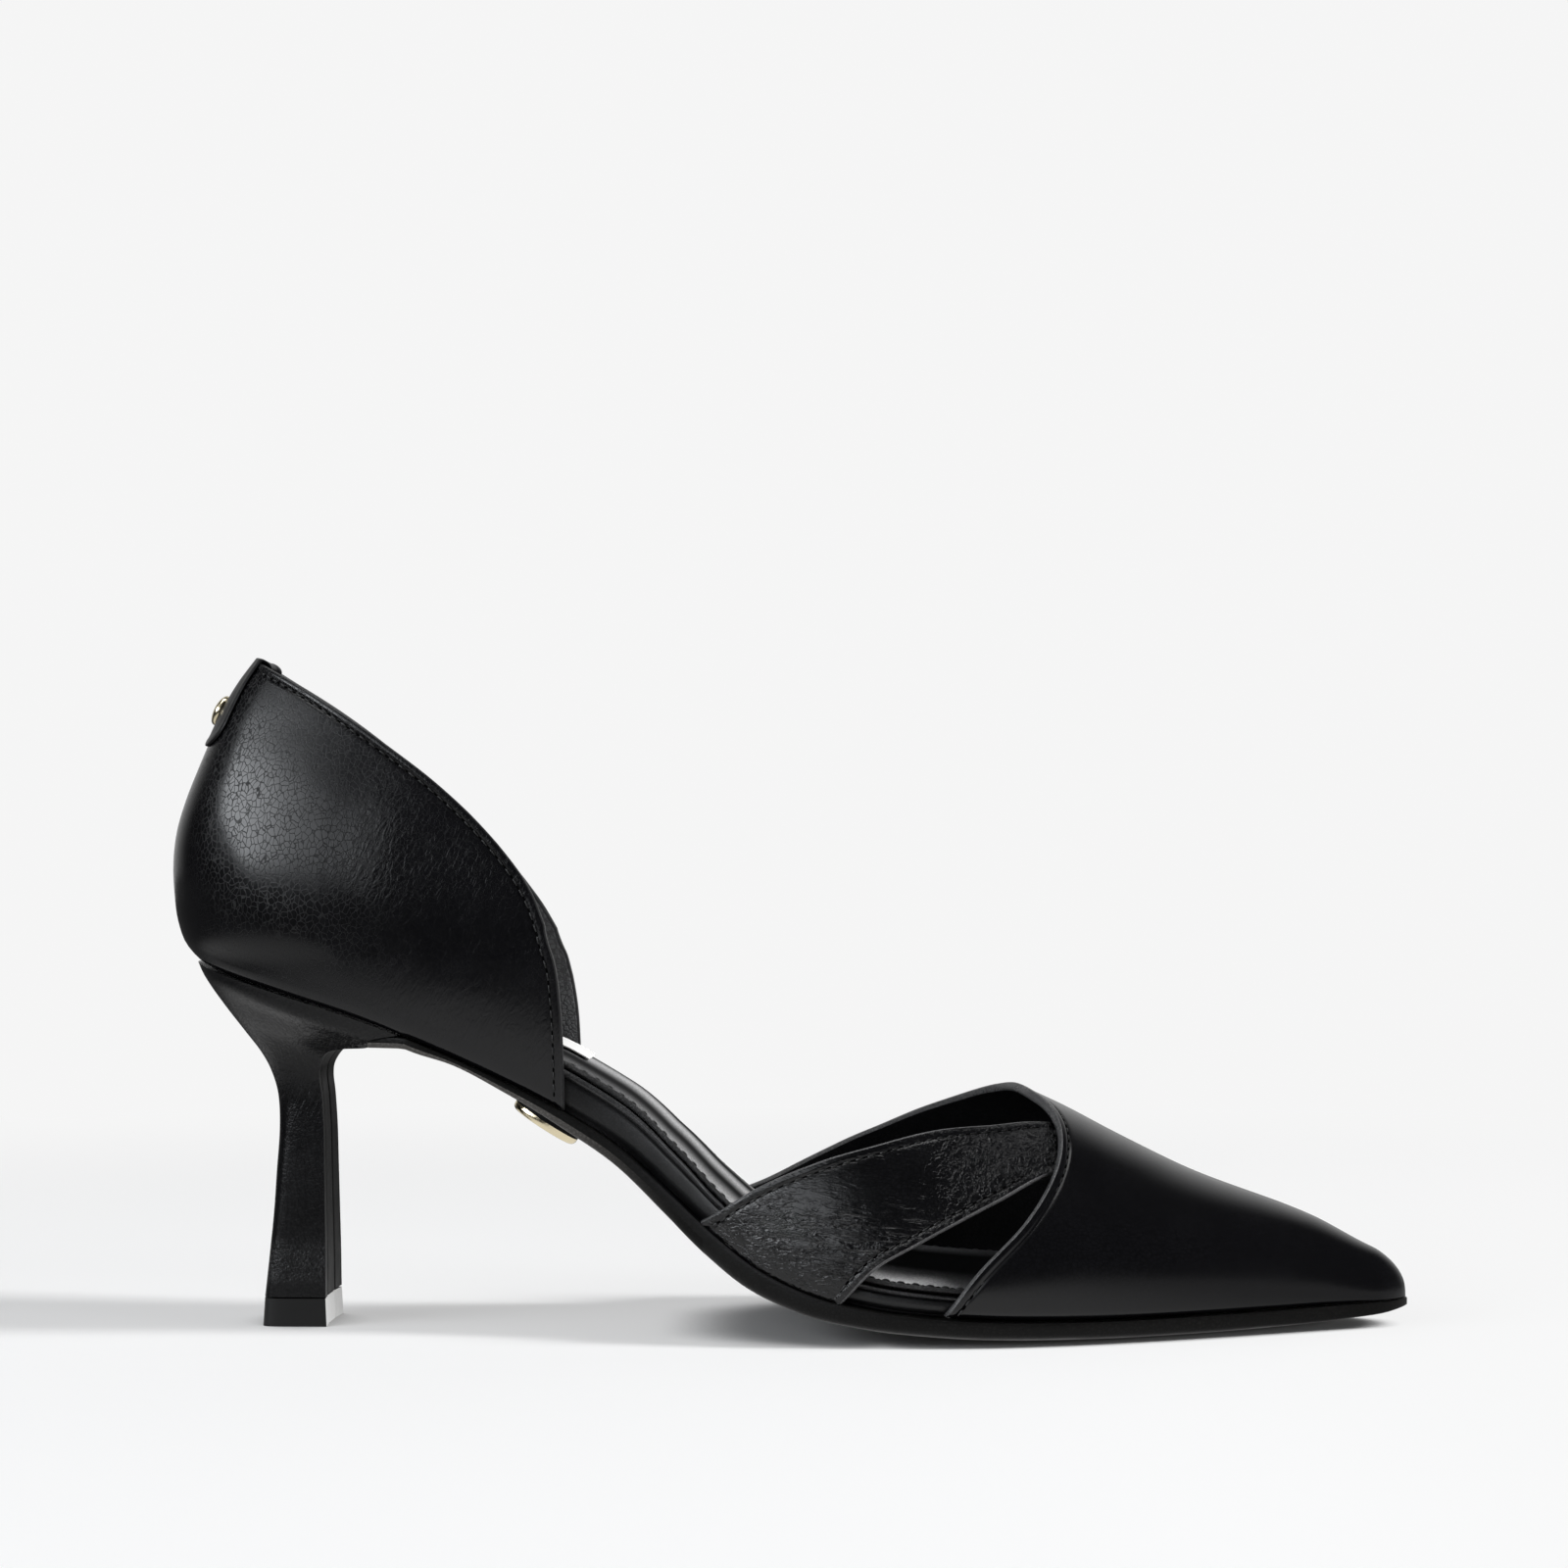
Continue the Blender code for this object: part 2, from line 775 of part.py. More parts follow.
def make_stud(name, radius, height, place, facing, material, parent):
    """A turned dome on a flat base, standing off its seat along facing."""
    bm = bmesh.new()
    dome = [math.radians(angle) for angle in (90, 70, 50, 30, 10)]
    rim = 0.35
    rim_low = 0.21
    foot = 0.96
    profile = [(radius * math.cos(a), height * (rim + (1 - rim) * math.sin(a))) for a in dome]
    profile[0] = (0.0, height)
    profile += [(radius, height * rim_low), (radius * foot, 0.0), (0.0, 0.0)]
    points = [bm.verts.new(Vector((x, 0, z)) * MM) for x, z in profile]
    for a, b in zip(points, points[1:]):
        bm.edges.new((a, b))
    obj = add_object(name, bm, material, parent)
    obj.location = (place + facing * GAP) * MM
    obj.rotation_euler = facing.to_track_quat("Z", "Y").to_euler()
    screw = obj.modifiers.new("turned", "SCREW")
    screw.steps = 24
    screw.render_steps = 24
    screw.use_merge_vertices = True
    screw.merge_threshold = MERGE_DISTANCE
    screw.use_normal_calculate = True
    return obj


def make_back_stud(parent):
    material = finish_material("back_stud_gold", (0.8, 0.62, 0.3), 0.2, 1.0)
    facing = quarter_normal(1, 0.0, BACK_STUD_Z)
    facing.y = 0.0
    place = quarter_point(1, 0.0, BACK_STUD_Z) + facing * (GAP + TAB_WALL)
    return make_stud("back_stud", BACK_STUD_RADIUS, BACK_STUD_HEIGHT, place, facing, material, parent)


def make_sole_stud(parent):
    material = finish_material("sole_stud_gold", (0.8, 0.62, 0.3), 0.2, 1.0)
    half = SOLE_STUD_RADIUS
    front = Vector((SOLE_STUD_X + half, 0, outsole_bottom(SOLE_STUD_X + half, 0.0)))
    back = Vector((SOLE_STUD_X - half, 0, outsole_bottom(SOLE_STUD_X - half, 0.0)))
    tangent = (front - back).normalized()
    facing = Vector((tangent.z, 0, -tangent.x))
    place = (front + back) / 2
    obj = make_stud("sole_stud", half, SOLE_STUD_HEIGHT, place, facing, material, parent)
    obj.scale = (SOLE_STUD_NARROWING, 1.0, 1.0)
    return obj


def main():
    clear_scene()
    collection = bpy.data.collections.new("pump_shoe")
    bpy.context.scene.collection.children.link(collection)
    carrier = bpy.data.objects.new("shoe_middle", None)
    collection.objects.link(carrier)
    carrier.location = (-(LENGTH + OUTSOLE_OUTSET) / 2 * MM, 0, 0)
    make_outsole(carrier)
    make_board(carrier)
    make_sock(carrier)
    make_label(carrier)
    make_quarter(carrier)
    make_vamp(carrier)
    make_strap(carrier)
    make_heel(carrier)
    make_top_piece(carrier)
    make_heel_tab(carrier)
    make_back_stud(carrier)
    make_sole_stud(carrier)


main()
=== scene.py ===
"""Looks of a black right-foot pump: crackled quarter, wrinkled strap, smooth pointed vamp, covered heel.

Shapes are in millimetres until a mesh is made. x runs forward from the back of the heel, y from the
outer side of the foot (minus) to the inner side (plus), and z up from the floor.
"""

import bisect
import math

import bmesh
import bpy
import numpy as np
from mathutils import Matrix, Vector, noise


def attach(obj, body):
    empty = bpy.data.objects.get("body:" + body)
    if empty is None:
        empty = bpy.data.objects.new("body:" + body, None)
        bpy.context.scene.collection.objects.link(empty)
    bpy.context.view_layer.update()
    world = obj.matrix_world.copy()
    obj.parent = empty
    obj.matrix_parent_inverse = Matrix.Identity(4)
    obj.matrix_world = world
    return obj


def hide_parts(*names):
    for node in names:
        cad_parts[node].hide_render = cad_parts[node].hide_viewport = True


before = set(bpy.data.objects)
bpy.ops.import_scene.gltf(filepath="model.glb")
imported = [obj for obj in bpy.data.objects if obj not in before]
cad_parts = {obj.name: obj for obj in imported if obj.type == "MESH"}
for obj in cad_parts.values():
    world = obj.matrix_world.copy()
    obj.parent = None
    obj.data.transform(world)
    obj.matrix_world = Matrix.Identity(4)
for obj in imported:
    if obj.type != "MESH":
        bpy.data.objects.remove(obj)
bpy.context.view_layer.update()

# Sizes that the solids have too
MM = 0.001
LENGTH = 243.5
GAP = 0.3
QUARTER_WALL = 2.0
VAMP_WALL = 1.6
STRAP_WALL = 1.5
SOCK_THICKNESS = 2.2
LABEL_THICKNESS = 0.5
OUTSOLE_OUTSET = 0.25
HALF_LENGTH = (LENGTH + OUTSOLE_OUTSET) / 2
END_SETBACK = 0.1

# Distances from a free edge at which the leather is measured: its rim, its fold and its stitch groove
EDGE_RUNS = (0.45, 0.7, 0.95, 1.2, 1.45, 1.65, 1.85, 2.05, 2.3, 2.6, 3.0, 3.6, 4.4)
RIM_REACH = 0.45
HIDDEN_RIM_REACH = 0.03
RIM_TURNS = (25, 50, 75, 100, 125, 150)
FOLD_RISE = 0.22
FOLD_WIDTH = 1.15
FOLD_SLOPE = 0.6
GROOVE_RUN = 1.85
GROOVE_WIDTH = 0.34
GROOVE_DEPTH = 0.2
FREE_RUN = 1.0
EDGE_PITCH = 0.25

# The fold is low down the quarter's front, and grows to its full height along the topline
FRONT_FOLD_SHARE = 0.3
FRONT_FOLD_TOP = 84.0
FRONT_FOLD_GROWTH = 10.0

# The leather is drawn under the shoe at its foot, and stands fuller low on the toe box
FOOT_TUCK = 0.7
FOOT_ROUND = 2.4
VAMP_TUCK_SHARE = 1.4
TOE_FULLNESS = 1.5
TOE_FULL_HEIGHT = 13.0
TOE_FULL_FADE = 14.0
TOE_FULL_START = 150.0
TOE_FULL_RUN = 30.0
TIP_CALM_RUN = 20.0

# Slight unevenness of the leather: spacing and depth of its waves, and how far an edge keeps them off
BROAD_WAVE = 15.0
BROAD_DEPTH = 0.06
CLOSE_WAVE = 5.5
CLOSE_DEPTH = 0.015
EVEN_EDGE = 6.0
VAMP_WAVE_SHARE = 0.7

# Thread
STITCH_PITCH = 2.4
STITCH_LENGTH = 1.75
STITCH_RADIUS = 0.2
HOLE_OVERLAP = 0.6
HOLE_SPREAD = 2.1


def cubic(t, start, end, start_slope, end_slope):
    """Value at share t of a cubic piece with given ends and end slopes."""
    from_start = (2 * t**3 - 3 * t**2 + 1) * start + (t**3 - 2 * t**2 + t) * start_slope
    from_end = (3 * t**2 - 2 * t**3) * end + (t**3 - t**2) * end_slope
    return from_start + from_end


class Table:
    """Rows under named columns. The first column is the station, in rising order."""

    def __init__(self, columns, *rows):
        values = np.array(rows, float).T
        self.columns = dict(zip(columns.split(), values.tolist()))
        self.stations = values[0].tolist()
        slopes = [np.gradient(column, values[0]).tolist() for column in values]
        self.slopes = dict(zip(columns.split(), slopes))

    def at(self, column, station):
        """Smooth curve through a column: cubic pieces that take their slopes from nearby rows."""
        stations = self.stations
        station = min(max(station, stations[0]), stations[-1])
        i = min(bisect.bisect_right(stations, station), len(stations) - 1) - 1
        run = stations[i + 1] - stations[i]
        t = (station - stations[i]) / run
        values = self.columns[column]
        slopes = self.slopes[column]
        return cubic(t, values[i], values[i + 1], run * slopes[i], run * slopes[i + 1])


# Seat line: the face on which the uppers and the insole stand
SEAT = Table(
    "x z",
    (0, 73.0),
    (12, 69.3),
    (26, 65.2),
    (40, 60.8),
    (54, 55.3),
    (68, 48.8),
    (80, 42.6),
    (90, 36.3),
    (100, 27.9),
    (108, 20.9),
    (116, 15.0),
    (126, 10.3),
    (138, 7.3),
    (152, 5.7),
    (176, 4.7),
    (212, 4.8),
    (244, 5.5),
)

# Plan outline at the seat: distance from the middle line to the outer and inner edges
PLAN = Table(
    "x outer inner",
    (38, 25.5, 25.5),
    (52, 24.8, 24.2),
    (66, 22.9, 21.4),
    (80, 21.6, 19.2),
    (92, 22.2, 19.6),
    (104, 26.0, 23.0),
    (116, 31.2, 28.2),
    (128, 35.2, 33.0),
    (140, 37.2, 36.2),
    (152, 37.3, 37.6),
    (166, 35.4, 37.0),
    (180, 31.4, 33.7),
    (194, 26.0, 28.4),
    (208, 19.8, 22.4),
    (222, 13.2, 16.0),
    (234, 7.8, 10.8),
    (244, 3.6, 6.8),
)
HEEL_SEAT_BACK = 5.0
HEEL_ROUND = 33.0
HEEL_HALF_WIDTH = 25.5
TIP_ROUND = 6.5
TIP_INSET = 1.3
TIP_BLUNTNESS = 0.75

# Ridge of the last over the forefoot, on the outside of the leather
RIDGE = Table(
    "x y z",
    (100, 4.0, 87.0),
    (110, 4.0, 79.5),
    (120, 4.0, 72.6),
    (130, 4.0, 66.2),
    (140, 4.0, 60.3),
    (150, 4.0, 54.4),
    (160, 3.9, 49.7),
    (168, 3.8, 46.4),
    (176, 3.6, 42.8),
    (187, 3.2, 37.1),
    (202, 2.7, 29.8),
    (218, 2.2, 22.9),
    (233, 1.8, 16.2),
    (244, 1.6, 12.2),
)
SECTION_POWER = 0.8
SIDE_SWELL = 1.2
SWELL_HEIGHT = 7.0
BALL_HALF_WIDTH = 37.0

# Quarter: its back seam, its front edge and its topline, seen from the side
BACK_SEAM = Table(
    "z x",
    (60, 5.0),
    (69, 5.0),
    (72, 4.4),
    (75, 2.4),
    (79, 1.0),
    (85, 0.2),
    (90.5, 0.0),
    (97, 0.7),
    (103, 2.4),
    (109, 4.7),
    (115, 7.2),
    (121, 10.0),
    (126, 12.9),
    (131, 16.6),
)
FRONT_EDGE = Table(
    "z outer inner",
    (40, 79.6, 79.6),
    (52, 79.6, 79.2),
    (63, 79.2, 78.3),
    (70.2, 78.4, 76.8),
    (77.4, 76.4, 74.2),
    (84, 76.0, 73.4),
    (131, 70.0, 67.0),
)
TOPLINE = Table(
    "x outer inner",
    (10, 132.6, 132.6),
    (16, 131.1, 131.1),
    (23, 127.7, 126.6),
    (31, 123.2, 121.1),
    (46, 113.0, 109.0),
    (56, 105.3, 99.8),
    (63, 98.7, 92.6),
    (68.7, 92.2, 85.8),
    (72.3, 87.2, 80.6),
    (74.6, 82.7, 76.0),
    (76.4, 77.6, 71.0),
    (78.5, 70.2, 62.4),
)
# Width of the quarter against its seat outline, by height over the seat
GIRTH = Table(
    "height heel waist",
    (0, 1.0, 1.0),
    (8, 1.035, 1.07),
    (17, 1.05, 1.12),
    (28, 1.02, 1.14),
    (40, 0.94, 1.10),
    (54, 0.82, 1.0),
    (70, 0.70, 0.88),
)
QUARTER_RUN = 74.5
# Heights of the quarter's foot and head are closed in on: first guesses and numbers of rounds
FOOT_GUESS = 60.0
FOOT_ROUNDS = 12
HEAD_GUESS = 100.0
HEAD_ROUNDS = 30
# Back seam: a narrow groove on a low swell, fading out under the heel tab
SEAM_TURNS = (0.0, 0.4, 0.8, 1.2, 1.7, 2.4, 3.4, 4.8)
SEAM_SWELL = 0.12
SEAM_SWELL_WIDTH = 1.3
SEAM_DEPTH = 0.3
SEAM_WIDTH = 0.4
SEAM_REACH = 20.0
SEAM_FADE = 4.0
# Distances from the ends of the quarter's edge at which its stitches start and stop
QUARTER_STITCHES = (10.0, 2.0)

# Back edge of the vamp: angle round the last, 0 at the outer seat and 180 at the inner seat
VAMP_EDGE = Table(
    "angle x",
    (0, 152.0),
    (10, 157.5),
    (25, 166.9),
    (40, 172.4),
    (55, 174.6),
    (70, 174.2),
    (80, 172.4),
    (90, 168.8),
    (109, 163.6),
    (125, 156.0),
    (136, 148.4),
    (146, 140.3),
    (154, 132.2),
    (162, 124.0),
    (170, 116.0),
    (176, 110.0),
    (180, 106.0),
)
VAMP_STITCHES = (1.5, 1.5)

# Strap: its two edges, from the seat to the end that is hidden under the vamp
STRAP = Table(
    "step upper_x upper_angle lower_x lower_angle dip",
    (0, 106.0, 0.0, 133.0, 0.0, 0.0),
    (1, 116.6, 14.0, 139.5, 8.6, 0.0),
    (2, 128.5, 25.6, 147.4, 15.6, 0.0),
    (3, 140.2, 35.4, 156.1, 23.8, 0.2),
    (4, 151.0, 46.2, 164.2, 32.4, 0.9),
    (5, 163.0, 58.0, 170.2, 40.6, 1.8),
    (6, 173.0, 71.0, 175.6, 48.0, 1.95),
    (7, 181.0, 82.0, 181.5, 57.0, 1.95),
)
# Creases of the strap, seen from the side: two ends, depth and half width
STRAP_CREASES = (
    (112.0, 22.6, 126.0, 23.6, 0.16, 0.8),
    (117.0, 19.6, 133.0, 20.2, 0.2, 0.9),
    (122.0, 16.8, 136.5, 18.0, 0.2, 0.8),
    (126.0, 14.2, 139.0, 15.6, 0.18, 0.8),
    (131.0, 22.4, 146.0, 23.6, 0.16, 0.9),
    (135.0, 25.8, 150.0, 26.0, 0.14, 1.0),
    (143.0, 28.8, 157.0, 30.0, 0.14, 1.0),
    (150.0, 33.0, 160.0, 36.5, 0.16, 0.9),
    (156.0, 31.0, 166.0, 36.0, 0.2, 0.9),
    (160.0, 33.0, 168.0, 39.0, 0.2, 0.8),
)
STRAP_CREASE_SHARE = 0.4
STRAP_FOLD_SHARE = 0.8
STRAP_EVEN_EDGE = 5.0
STRAP_STITCHES = (1.5, 15.0)

# Outsole: thickness at its edge, and how far its middle stands below that edge
OUTSOLE = Table(
    "x thickness crown",
    (40, 2.0, 0.2),
    (46, 2.0, 0.3),
    (51.5, 1.9, 0.4),
    (58, 1.2, 0.5),
    (68, 1.7, 0.8),
    (80, 2.7, 1.1),
    (92, 3.1, 1.2),
    (104, 3.8, 1.4),
    (114, 4.1, 1.6),
    (126, 3.9, 1.9),
    (140, 3.4, 2.4),
    (156, 3.2, 2.6),
    (180, 3.0, 2.4),
    (212, 2.8, 2.0),
    (230, 2.5, 1.1),
    (238, 2.1, 0.5),
    (244, 1.2, 0.1),
)
OUTSOLE_START = 41.9
LIP_UNDERSIDE = 57.4
LIP_TUCK = 0.12
LIP_RUN = 9.0
WAIST_BEVEL_END = 106.0
WAIST_BEVEL_TOP = 0.55
# Insole board thickness along the foot
BOARD = Table(
    "x thickness",
    (0, 4.0),
    (50, 4.7),
    (66, 5.9),
    (78, 6.8),
    (92, 6.5),
    (108, 5.3),
    (122, 4.5),
    (140, 4.0),
    (200, 3.4),
    (244, 2.6),
)
BEAD_FACES = 5
BOARD_INSET = 2.5
BOARD_END = 236.0
SOCK_INSET = 3.0
SOCK_END = 230.0
SOLE_PITCH = 1.5
END_RUNS = (0.0, 0.15, 0.4, 0.8, 1.4, 2.2, 3.2, 4.4, 5.8, 7.4, 9.2)

# Cross-sections: share of the half width, share of the thickness
OUTSOLE_SIDE = (
    (0.994, 1.0),
    (0.999, 0.94),
    (1.0, 0.82),
    (1.0, 0.5),
    (0.996, 0.34),
    (0.988, 0.2),
    (0.974, 0.09),
    (0.95, 0.025),
    (0.91, 0.0),
    (0.75, 0.0),
    (0.6, 0.0),
    (0.45, 0.0),
    (0.3, 0.0),
    (0.15, 0.0),
)
BOARD_SIDE = (
    (0.972, 1.0),
    (0.992, 0.99),
    (1.005, 0.955),
    (1.01, 0.9),
    (1.005, 0.845),
    (0.992, 0.815),
    (0.984, 0.79),
    (0.99, 0.765),
    (0.999, 0.73),
    (1.003, 0.66),
    (1.004, 0.5),
    (1.003, 0.3),
    (0.998, 0.2),
    (0.988, 0.13),
    (0.978, 0.08),
    (0.976, 0.0),
)

# Heel: back and front of each level, half its width, and how much it has the seat's outline
HEEL = Table(
    "level back_x back_z front_x front_z half_width squareness seat_share",
    (0, 19.5, 5.7, 31.9, 5.7, 9.75, 9.0, 0.0),
    (1, 20.3, 14.0, 31.8, 14.0, 9.4, 8.0, 0.0),
    (2, 21.0, 22.0, 31.6, 22.0, 9.1, 7.0, 0.0),
    (3, 21.4, 30.0, 31.4, 30.0, 8.8, 6.0, 0.0),
    (4, 21.8, 38.0, 31.2, 38.0, 8.5, 5.0, 0.0),
    (5, 21.4, 44.5, 30.8, 44.4, 8.3, 4.2, 0.03),
    (6, 20.0, 49.2, 30.3, 48.4, 8.7, 3.6, 0.08),
    (7, 17.8, 53.2, 30.6, 51.0, 10.0, 3.2, 0.18),
    (8, 14.2, 57.8, 32.4, 53.5, 12.7, 3.0, 0.36),
    (9, 11.0, 61.9, 36.0, 54.4, 16.3, 3.0, 0.58),
    (10, 8.2, 65.6, 41.5, 54.9, 20.2, 3.0, 0.8),
    (11, 6.2, 68.7, 42.2, 56.4, 23.4, 3.0, 0.94),
    (12, 5.0, 71.2, 48.0, 57.5, 25.5, 3.0, 1.0),
)
HEEL_BREAST_HOLLOW = 0.5
HEEL_STEPS = 8
# Breast of the heel, from a corner to its middle: where it is measured, and the seam of its cover
BREAST_SHARES = (0.9, 0.8, 0.7, 0.6, 0.5, 0.44, 0.42, 0.4, 0.38, 0.36, 0.25, 0.0)
BREAST_SEAM_SHARE = 0.4
BREAST_SEAM_DEPTH = 0.4
BREAST_SEAM_WIDTH = 0.03
TOP_PIECE_FLARE = 0.3
TOP_PIECE_BEVEL = 0.3

# Trim
TAB_LOW_Z = 114.0
TAB_LOW_TURN = 30.0
TAB_HIGH_TURN = 25.0
TAB_CORNER = 0.45
TAB_CORNER_RISE = 3.6
TAB_LIE = 0.5
TAB_RISE = 0.65
TAB_SKIVED_WALL = 0.42
TAB_FOLD_TURNS = (10, 24, 40, 58, 78, 98, 118, 138, 156, 170, 180)
TAB_INSIDE_RUNS = (1.0, 2.2, 3.4, 4.6)
TAB_HEM_RISE = 0.16
TAB_HEM_WIDTH = 0.8
TAB_HEM_SLOPE = 0.7
BACK_STUD_Z = 120.5
BACK_STUD_SINK = 0.25
BACK_STUD_RADIUS = 3.2
BACK_STUD_HEIGHT = 1.9
SOLE_STUD_X = 75.2
SOLE_STUD_RADIUS = 7.2
SOLE_STUD_HEIGHT = 3.0
SOLE_STUD_NARROWING = 0.66
LABEL_FRONT = 83.2
LABEL_BACK = 55.2
LABEL_HALF_WIDTH = 7.5
LABEL_LIFT = 0.12
LABEL_BEVEL = 0.12
LABEL_SIDE = ((0.9, 1.0), (0.97, 0.9), (1.0, 0.55), (1.0, 0.2), (0.99, 0.0))


# Shape of the shoe


def ease(t):
    t = np.clip(t, 0.0, 1.0)
    return t * t * (3 - 2 * t)


def round_rise(t):
    """Rise from 0 to 1 along a quarter of a circle."""
    return np.sqrt(np.clip(1 - (1 - np.clip(t, 0, 1)) ** 2, 0, 1))


def seat(x):
    return SEAT.at("z", x)


def upright(x, thickness):
    """Vertical height of a layer whose thickness is measured square to the seat line."""
    step = 0.5
    slope = (seat(x + step) - seat(x - step)) / (2 * step)
    return thickness * math.hypot(1.0, slope)


def round_share(run, length):
    """Half width of a rounded end against its full width, at a distance from the end."""
    t = min(max(run / length, 0.0), 1.0)
    return math.sqrt(1.0 - (1.0 - t) ** 2)


def plan_edges(x, inset=0.0):
    """y of the outer and inner edges of the plan outline, drawn in by inset."""
    if x < HEEL_SEAT_BACK + HEEL_ROUND:
        share = round_share(x - HEEL_SEAT_BACK - inset, HEEL_ROUND - inset)
        half = (HEEL_HALF_WIDTH - inset) * share
        return -half, half
    outer = PLAN.at("outer", x)
    inner = PLAN.at("inner", x)
    middle = (inner - outer) / 2
    half = (inner + outer) / 2 - inset
    half *= round_share(LENGTH - TIP_INSET * inset - x, TIP_ROUND)
    return middle - half, middle + half


def last_rise(x):
    return (RIDGE.at("z", x) - seat(x)) * round_share(LENGTH - x, TIP_ROUND) ** TIP_BLUNTNESS


def last_point(x, angle):
    """Outside of the leather over the forefoot, at an angle round the section at x."""
    turn = math.radians(angle)
    edges = plan_edges(x)
    edge = edges[0] if angle < 90 else edges[1]
    height = last_rise(x) * math.sin(turn)
    middle = (edges[0] + edges[1]) / 2
    tip = round_share(LENGTH - x, TIP_ROUND)
    ridge_y = middle + (RIDGE.at("y", x) - middle) * tip
    reach = edge - ridge_y
    spread = abs(math.cos(turn))
    lift = height / SWELL_HEIGHT
    swell = SIDE_SWELL * reach / BALL_HALF_WIDTH * spread * lift * math.exp(1 - lift)
    return Vector((x, ridge_y + reach * spread**SECTION_POWER + swell, seat(x) + height))


def last_edges(x, height, inset):
    """y of the two sides of the room inside the upper, at a height over the seat."""
    outer, inner = plan_edges(x, inset)
    if x < RIDGE.stations[0]:
        return outer, inner
    angle = math.degrees(math.asin(min(height / last_rise(x), 1.0)))
    outer = max(outer, last_point(x, angle).y + inset)
    inner = min(inner, last_point(x, 180 - angle).y - inset)
    return outer, inner


def last_normal(x, angle):
    """Outward direction of the forefoot's face, measured clear of the seat."""
    x_step = 0.2
    turn_step = 0.5
    least_angle = 1.0
    angle = min(max(angle, least_angle), 180 - least_angle)
    forward = last_point(x + x_step, angle) - last_point(x - x_step, angle)
    around = last_point(x, angle + turn_step) - last_point(x, angle - turn_step)
    return forward.cross(around).normalized()


def side_name(side):
    return "outer" if side < 0 else "inner"


def quarter_point(side, share, z):
    """Outside of the quarter: side -1 outer or 1 inner, share 0 at the back seam and 1 in front."""
    back = BACK_SEAM.at("x", z)
    run = share * (FRONT_EDGE.at(side_name(side), z) - back)
    x = back + run
    edges = plan_edges(HEEL_SEAT_BACK + run)
    edge = edges[0] if side < 0 else edges[1]
    height = max(z - seat(x), 0.0)
    waist = ease(run / QUARTER_RUN)
    heel_girth = GIRTH.at("heel", height)
    girth = heel_girth + (GIRTH.at("waist", height) - heel_girth) * waist
    return Vector((x, edge * girth, z))


def quarter_foot(side, share):
    """Height at which a column of the quarter meets the seat, closed in on from a first guess."""
    z = FOOT_GUESS
    for _ in range(FOOT_ROUNDS):
        z = seat(quarter_point(side, share, z).x)
    return z


def quarter_head(side, share):
    """Height at which a column of the quarter meets the topline, closed in on likewise."""
    z = HEAD_GUESS
    for _ in range(HEAD_ROUNDS):
        x = quarter_point(side, share, z).x
        z += 0.5 * (TOPLINE.at(side_name(side), x) - z)
    return z


def turn_share(turn):
    """Column of the quarter at an angle round the heel's back, in degrees."""
    return HEEL_ROUND * (1 - math.cos(math.radians(turn))) / QUARTER_RUN


def quarter_normal(side, share, z):
    """Outward direction of the quarter's face."""
    share_step = 0.004
    z_step = 0.2
    along_seat = quarter_point(side, share + share_step, z) - quarter_point(side, share, z)
    up = quarter_point(side, share, z + z_step) - quarter_point(side, share, z - z_step)
    return (along_seat.cross(up) * -side).normalized()


def strap_place(step, share):
    """x and angle on the last: step along the strap, share 0 on its upper edge and 1 on its lower."""
    x = STRAP.at("upper_x", step) * (1 - share) + STRAP.at("lower_x", step) * share
    angle = STRAP.at("upper_angle", step) * (1 - share) + STRAP.at("lower_angle", step) * share
    return x, angle


def strap_normal(step, share):
    return last_normal(*strap_place(step, share))


def strap_point(step, share):
    """Outside of the strap."""
    x, angle = strap_place(step, share)
    return last_point(x, angle) - strap_normal(step, share) * STRAP.at("dip", step)


def outsole_top(x):
    return min(seat(x), LIP_UNDERSIDE) - GAP


def outsole_bottom(x, across):
    depth = upright(x, OUTSOLE.at("thickness", x)) + OUTSOLE.at("crown", x) * (1 - across**2)
    return max(outsole_top(x) - depth, 0.0)


def board_top(x):
    return seat(x) + upright(x, BOARD.at("thickness", x))


def sock_top(x):
    return board_top(x) + GAP + upright(x, SOCK_THICKNESS)


def stations(start, end, round_start=False, round_end=False):
    """x from start to end, closer together in rounded ends."""
    head = [start + run for run in END_RUNS] if round_start else [start]
    tail = [end - run for run in reversed(END_RUNS)] if round_end else [end]
    steps = round((tail[0] - head[-1]) / SOLE_PITCH)
    return head + np.linspace(head[-1], tail[0], steps + 1)[1:-1].tolist() + tail


# Meshes


def unit(vectors):
    return vectors / np.maximum(np.linalg.norm(vectors, axis=-1, keepdims=True), 1e-9)


def hand_of_leather(points):
    """Slight unevenness of leather that was pulled over a last, in millimetres."""
    flat = points.reshape(-1, 3)
    broad = [noise.noise(Vector(p) / BROAD_WAVE) for p in flat]
    close = [noise.noise(Vector(p) / CLOSE_WAVE) for p in flat]
    waves = BROAD_DEPTH * np.array(broad) + CLOSE_DEPTH * np.array(close)
    return waves.reshape(points.shape[:-1])


def distance_to(points, line):
    """Distance from each point to the nearest point of a finely drawn line."""
    flat = points.reshape(-1, points.shape[-1])
    nearest = np.full(len(flat), np.inf)
    for part in np.array_split(line, max(1, len(line) // 50)):
        gaps = np.linalg.norm(flat[:, None] - part[None], axis=2)
        nearest = np.minimum(nearest, gaps.min(axis=1))
    return nearest.reshape(points.shape[:-1])


def fold_relief(run, share=1.0):
    """Height of a folded and stitched edge over the leather, by distance from the edge."""
    fold = FOLD_RISE * (1 - ease((run - FOLD_WIDTH) / FOLD_SLOPE))
    groove = GROOVE_DEPTH * np.exp(-(((run - GROOVE_RUN) / GROOVE_WIDTH) ** 2))
    return (fold - groove) * share


